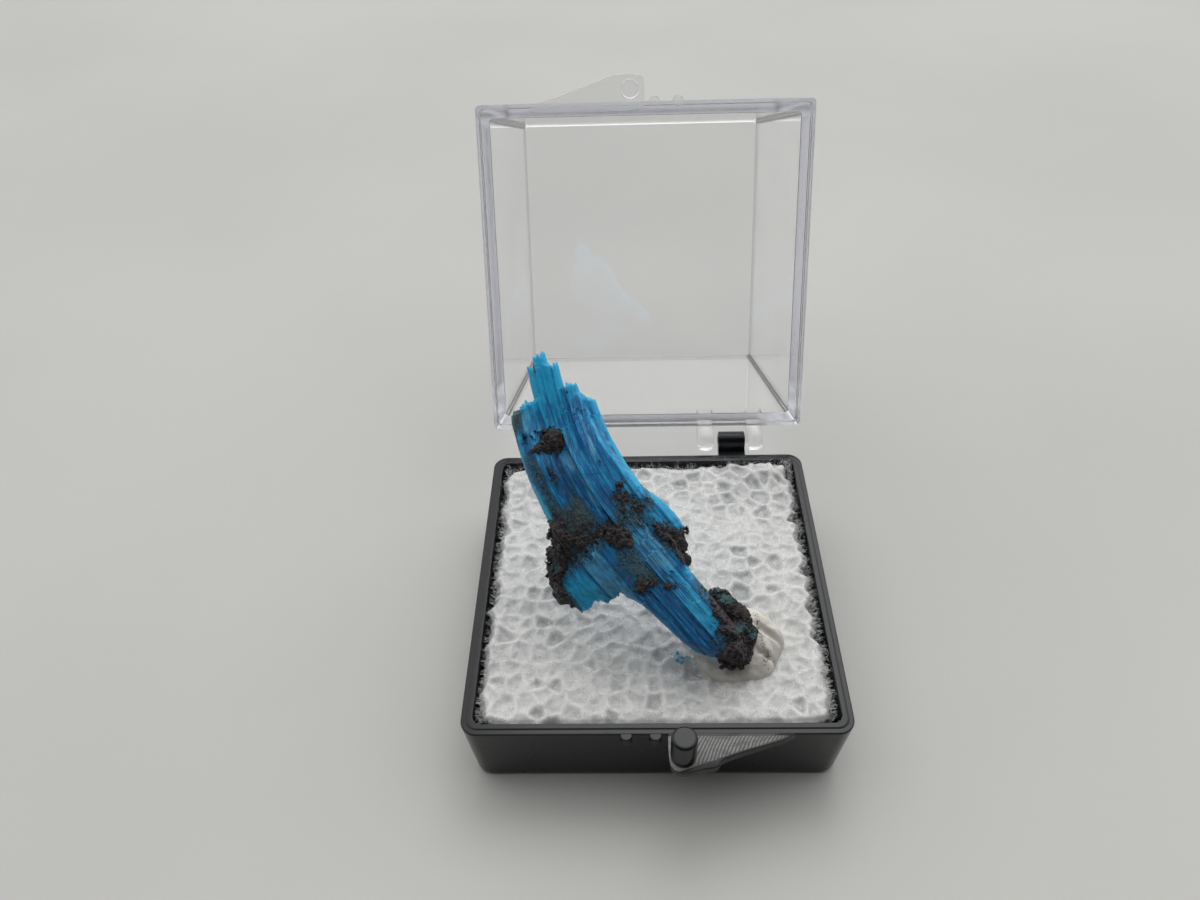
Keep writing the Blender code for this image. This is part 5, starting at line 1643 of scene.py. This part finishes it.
@dataclass
class MatrixMasses:
    """Brown-black matrix: craggy crusts on the crystal's face, full lumps at its edges, and grains.

    A crust's spots hold place along and across, half length, half width and height in the flow; a
    lump holds place and radius in the plane; a grain area holds place, spread, count and size.
    """

    bundle: Bundle
    pitch: float = 0.045
    dusted: Sequence[tuple[float, float, float]] = (
        (0.8, 2.9, 0.7), (-0.3, 3.5, 0.6), (-1.3, 5.9, 0.9), (-2.6, 6.6, 0.8), (-15.4, 8.4, 0.6), (-15.6, 6.0, 0.5),
        (-9.4, 9.2, 0.8), (-5.6, 9.0, 0.6), (-14.0, 12.2, 0.4), (-7.6, 12.4, 0.5))
    crusts: dict[str, Sequence[tuple[float, float, float, float, float]]] = field(default_factory=lambda: {
        "matrix_foot": ((2.6, 0.4, 1.35, 1.7, 0.7), (4.4, 1.7, 1.1, 1.25, 0.65), (6.1, 2.0, 0.75, 1.15, 0.6),
                        (2.2, 0.2, 1.0, 0.8, 0.5), (5.2, 0.9, 0.4, 0.6, 0.2), (7.0, 2.2, 0.7, 0.7, 0.4)),
        "matrix_upper": ((25.4, -1.1, 1.0, 0.85, 0.85), (25.5, -1.7, 0.8, 0.8, 0.65), (25.35, -2.5, 0.45, 0.8, 0.4),
                         (25.35, -3.2, 0.28, 0.45, 0.25), (26.4, -1.45, 0.5, 0.35, 0.4)),
        "matrix_left": ((19.0, -4.5, 1.4, 0.95, 0.7), (17.9, -5.5, 0.9, 1.2, 0.6), (17.2, -6.7, 0.65, 1.1, 0.5),
                        (17.9, -3.4, 0.55, 0.8, 0.22), (17.5, -2.3, 0.42, 0.8, 0.18), (15.6, -7.5, 1.3, 0.55, 0.5),
                        (20.0, -4.1, 0.4, 0.35, 0.2)),
        "matrix_centre": ((16.3, -0.9, 1.0, 1.0, 0.38), (15.4, -0.5, 0.5, 0.8, 0.3), (17.2, -1.6, 0.4, 0.7, 0.2)),
        "matrix_right": ((14.5, 2.05, 0.8, 0.4, 0.28), (13.7, 2.4, 0.6, 0.45, 0.35), (12.75, 2.9, 0.5, 0.8, 0.5),
                         (12.9, 3.6, 0.3, 0.5, 0.35), (11.5, 2.15, 0.8, 0.35, 0.4), (18.6, 1.35, 0.55, 0.45, 0.3),
                         (19.6, 1.9, 0.22, 0.4, 0.2), (17.9, 0.9, 0.35, 0.3, 0.15), (16.8, 2.0, 0.3, 0.3, 0.15)),
        "matrix_lower": ((12.0, -1.85, 0.55, 0.7, 0.35), (11.5, -1.1, 0.35, 0.4, 0.2), (10.7, -0.3, 0.35, 0.3, 0.2),
                         (10.15, 0.25, 0.25, 0.25, 0.18), (10.7, -2.2, 0.2, 0.2, 0.12))})
    lumps: dict[str, Sequence[tuple[float, float, float, float]]] = field(default_factory=lambda: {
        "matrix_foot": ((-1.4, 5.0, 0.5, 1.05), (-0.55, 4.0, 0.3, 1.3), (-0.1, 2.65, 0.2, 1.42), (-0.4, 1.45, 0.1, 1.3),
                        (-1.1, 2.1, 0.3, 1.15)),
        "matrix_upper": ((-15.6, 19.0, 1.35, 0.8),),
        "matrix_left": ((-14.4, 11.6, 0.7, 1.0), (-14.8, 10.4, 0.5, 1.05), (-15.0, 9.2, 0.4, 0.85),
                        (-15.2, 8.0, 0.2, 0.62), (-15.15, 6.9, 0.1, 0.6), (-14.7, 5.8, 0.1, 0.52)),
        "matrix_centre": (),
        "matrix_right": ((-6.0, 11.2, 0.7, 0.75), (-5.2, 10.1, 0.5, 0.75), (-4.9, 8.9, 0.3, 0.7)),
        "matrix_lower": ()})
    grain_areas: Sequence[tuple[float, float, float, float, int, float]] = (
        (19.9, -4.0, 0.9, 0.5, 70, 0.08), (25.4, -2.2, 0.6, 1.3, 50, 0.07), (22.5, -3.5, 2.2, 0.35, 80, 0.06),
        (22.9, -2.5, 0.9, 0.35, 60, 0.08), (19.3, -2.6, 0.9, 0.8, 60, 0.07), (18.2, -2.8, 0.5, 1.3, 110, 0.09),
        (17.4, -4.5, 0.6, 2.2, 160, 0.10), (15.6, -7.4, 1.2, 0.5, 90, 0.10), (16.4, -0.8, 0.9, 1.0, 110, 0.09),
        (17.6, -0.9, 0.5, 1.0, 60, 0.07), (18.9, 1.4, 0.9, 0.6, 80, 0.09), (19.6, 1.9, 0.3, 0.5, 25, 0.07),
        (17.3, 1.9, 0.9, 0.7, 60, 0.08), (15.6, 1.6, 1.2, 0.8, 60, 0.07), (14.2, 2.3, 0.9, 0.5, 90, 0.10),
        (12.8, 2.9, 0.4, 0.8, 60, 0.10), (11.4, 2.0, 0.8, 0.3, 50, 0.09), (11.7, -1.5, 0.6, 0.8, 80, 0.08),
        (10.6, -0.2, 0.6, 0.4, 30, 0.07), (5.0, 1.3, 0.7, 1.0, 110, 0.09), (6.9, 2.0, 0.6, 0.6, 60, 0.09),
        (12.6, -5.0, 0.3, 0.4, 20, 0.08), (14.5, -4.5, 2.0, 2.0, 40, 0.04), (22.2, 1.5, 0.12, 0.1, 6, 0.06),
        (28.9, 1.1, 0.12, 0.12, 7, 0.07), (31.6, -1.02, 0.5, 0.05, 26, 0.05), (22.0, 0.5, 4.0, 2.2, 30, 0.03),
        (9.0, 0.0, 3.0, 1.5, 30, 0.04), (8.3, 1.7, 0.7, 0.2, 30, 0.07))

    def dust(self, spot: np.ndarray) -> np.ndarray:
        """Teal dust at points of the plane: bells round its places, broken up by noise."""
        total = np.zeros(spot.shape[:-1])
        for x, y, radius in self.dusted:
            total += np.exp(-((spot[..., 0] - x) ** 2 + (spot[..., 1] - y) ** 2) / radius**2)
        return np.clip(total, 0, 1) * np.clip(0.75 + 0.6 * fractal(spot * 2.5, 2, 77), 0, 1)

    def rock(self, lump: tuple[float, float, float, float], seed: int) -> Surface:
        """Rough ball: its radius grows with soft noise, and crests and pits are added at three sizes."""
        x, y, z, radius = lump
        polar = np.linspace(0.03, math.pi - 0.03, 56)[:, None]
        turn = np.linspace(0, 2 * math.pi, 88, endpoint=False)[None, :]
        ray = np.stack(np.broadcast_arrays(np.sin(polar) * np.cos(turn), np.sin(polar) * np.sin(turn),
                                           np.cos(polar)), axis=-1)
        spot = ray * radius + np.array((x, y, z))
        reach = 0.97 + 0.2 * fractal(ray * 1.4 + seed * 1.7, 2, seed) + 0.18 * (ridged(spot * 2.2, 4, seed + 2) - 0.5)
        reach = reach + 0.085 * fractal(spot * 6.0, 3, seed + 5, 0.75)
        points = ray * (radius * reach)[..., None] + np.array((x, y, z))
        return Surface.grid(points, around=True, capped=True, marks={"dust": self.dust(spot)}).outward()

    def crust(self, crystal: Crystal, spots: Sequence[tuple[float, float, float, float, float]],
              seed: int) -> Surface:
        """Crust on the crystal's face: the tallest of some domes, broken up by crests and noise.

        Each dome is its height times one less the squared distance from its middle in half
        lengths. It is kept where it stands above the face, and its back lies under the face.

        Args:
            crystal: The crystal that it grows on.
            spots: Its domes.
            seed: Number of the pattern.

        Returns:
            The crust in the bundle's plane, in millimetres.
        """
        domes = np.array(spots)
        low = (domes[:, :2] - 1.3 * domes[:, 2:4]).min(axis=0)
        high = (domes[:, :2] + 1.3 * domes[:, 2:4]).max(axis=0)
        along, across = np.meshgrid(*(np.arange(a, b, self.pitch) for a, b in zip(low, high)), indexing="ij")
        flat = self.bundle.plane(along, across, 0 * along)
        s = along + 0.26 * fractal(flat / 0.7, 4, seed, 0.65)
        t = across + 0.26 * fractal(flat / 0.6 + 9, 4, seed + 3, 0.65)
        swell = np.full_like(s, -1.0)
        for place, offset, long, wide, height in domes:
            away = ((s - place) / long) ** 2 + ((t - offset) / wide) ** 2
            swell = np.maximum(swell, height * (1 - away))
        crag = 0.32 * (ridged(flat * 3.4, 3, seed + 6) - 0.45) + 0.22 * fractal(flat / 0.22, 2, seed + 9, 0.8)
        tall = swell + crag * (0.25 + 0.9 * np.clip(swell, 0, 0.6))
        face = crystal.depth_along(along, across)[0]
        slab = Slab(self.bundle, along, across, face + 0.8 * np.maximum(tall, 0.02) ** 0.8, face - 0.4,
                    {"dust": self.dust(flat)})
        surface = slab.solid(slab.cells_of(tall > 0.03), 2)
        surface.flat = None
        return surface

    def grains(self, crystal: Crystal) -> Surface:
        """Grains set on the crystal's front, thickest in the middle of each area."""
        rng = np.random.default_rng(64)
        flow, sizes = [], []
        for along, across, long, wide, count, size in self.grain_areas:
            flow.append(rng.normal(0, 0.55, (2 * count, 2)) * (long, wide) + (along, across))
            sizes.append(size * rng.uniform(0.2, 0.95, 2 * count))
        (along, across), sizes = np.concatenate(flow).T, np.concatenate(sizes)
        depth, held = crystal.depth_along(along, across)
        return strewn(self.bundle.plane(along, across, depth + 0.01)[held], sizes[held], rng, dust=0.1)

    def build(self, crystal: Crystal) -> None:
        """Add the masses and the grains."""
        finish = MatrixRock()
        for number, (node, spots) in enumerate(self.crusts.items()):
            parts = [self.crust(crystal, spots, 20 * number + 5)]
            parts += [self.rock(lump, 10 * number + i) for i, lump in enumerate(self.lumps[node])]
            mesh = self.bundle.placed(Surface.joined(parts)).mesh(node + "_rock", False)
            add_piece(node + "_rock", mesh, finish, Body.TRAY, [node])
        grains = self.bundle.placed(self.grains(crystal))
        add_piece("matrix_grains", grains.mesh("matrix_grains", False), finish, Body.TRAY)


# Studio


@dataclass
class Studio:
    """Pale table, soft light from above and behind, and the camera at the photograph's angle."""

    spot: tuple[float, float, float] = (-2.129, -52.946, 74.793)
    right: tuple[float, float, float] = (0.99951, 0.01165, -0.02910)
    up: tuple[float, float, float] = (0.01288, 0.69369, 0.72016)
    ahead: tuple[float, float, float] = (-0.02857, 0.72018, -0.69320)
    focal_pixels: float = 921.36
    frame_width: float = 1200.0
    sensor: float = 36.0
    table: float = 1.2
    sky_side: tuple[float, float, float] = (0.0, 0.857, 0.514)
    sky_span: tuple[float, float] = (-0.10, 0.55)
    sky_strength: tuple[float, float] = (0.03, 1.25)

    def add_table(self) -> None:
        """Flat table under the box."""
        line = np.linspace(-self.table, self.table, 9)
        x, y = np.meshgrid(line, line, indexing="xy")
        surface = Surface.grid(np.stack([x, y, np.zeros_like(x)], axis=-1))
        mesh = surface.mesh("table", True)
        table = bpy.data.objects.new("table", mesh)
        mesh.materials.append(TableTop().material())
        bpy.context.scene.collection.objects.link(table)

    def add_light(self, name: str, place: tuple[float, float, float], size: float, power: float) -> None:
        """Square area light that faces the box."""
        light = bpy.data.lights.new(name, "AREA")
        light.size = size
        light.energy = power
        lamp = bpy.data.objects.new(name, light)
        lamp.location = place
        aim = Vector((0, 0, 0.01)) - Vector(place)
        lamp.rotation_euler = aim.to_track_quat("-Z", "Y").to_euler()
        bpy.context.scene.collection.objects.link(lamp)

    def add_camera(self) -> None:
        """Camera whose axes and focal length were worked out from the box's corners."""
        data = bpy.data.cameras.new("camera")
        data.sensor_width = self.sensor
        data.lens = self.focal_pixels / self.frame_width * self.sensor
        data.clip_start = 0.002
        camera = bpy.data.objects.new("camera", data)
        columns = [Vector(self.right), Vector(self.up), -Vector(self.ahead)]
        turn = Matrix([[column[i] for column in columns] for i in range(3)])
        camera.matrix_world = Matrix.Translation(Vector(self.spot) * MM) @ turn.to_4x4()
        bpy.context.scene.collection.objects.link(camera)
        bpy.context.scene.camera = camera

    def build(self) -> None:
        """Add the table, lights, surroundings and camera."""
        self.add_table()
        self.add_light("key_light", (0.06, 0.32, 0.50), 0.30, 0.6)
        scene = bpy.context.scene
        scene.world = bpy.data.worlds.new("surroundings")
        maker = NodeMaker(scene.world, "Background")
        ray = maker.node("ShaderNodeTexCoord", output="Generated")
        toward = maker.node("ShaderNodeVectorMath", {"operation": "DOT_PRODUCT"},
                            {0: ray, 1: self.sky_side}, "Value")
        maker.finish(Color=(1.0, 0.995, 0.98), Strength=toward.between(*self.sky_span, *self.sky_strength))
        scene.view_settings.view_transform = "Standard"
        self.add_camera()


def main() -> None:
    """Build every part of the scene in order."""
    logging.basicConfig(level=logging.INFO, format="%(name)s %(message)s")
    Studio().build()
    Tray().build()
    Lid().build()
    pad = FoamPad()
    pad.build()
    Putty(pad).build()
    bundle = Bundle()
    crystal = Crystal(bundle)
    crystal.build()
    MatrixMasses(bundle).build(crystal)


if __name__ == "__main__":
    main()
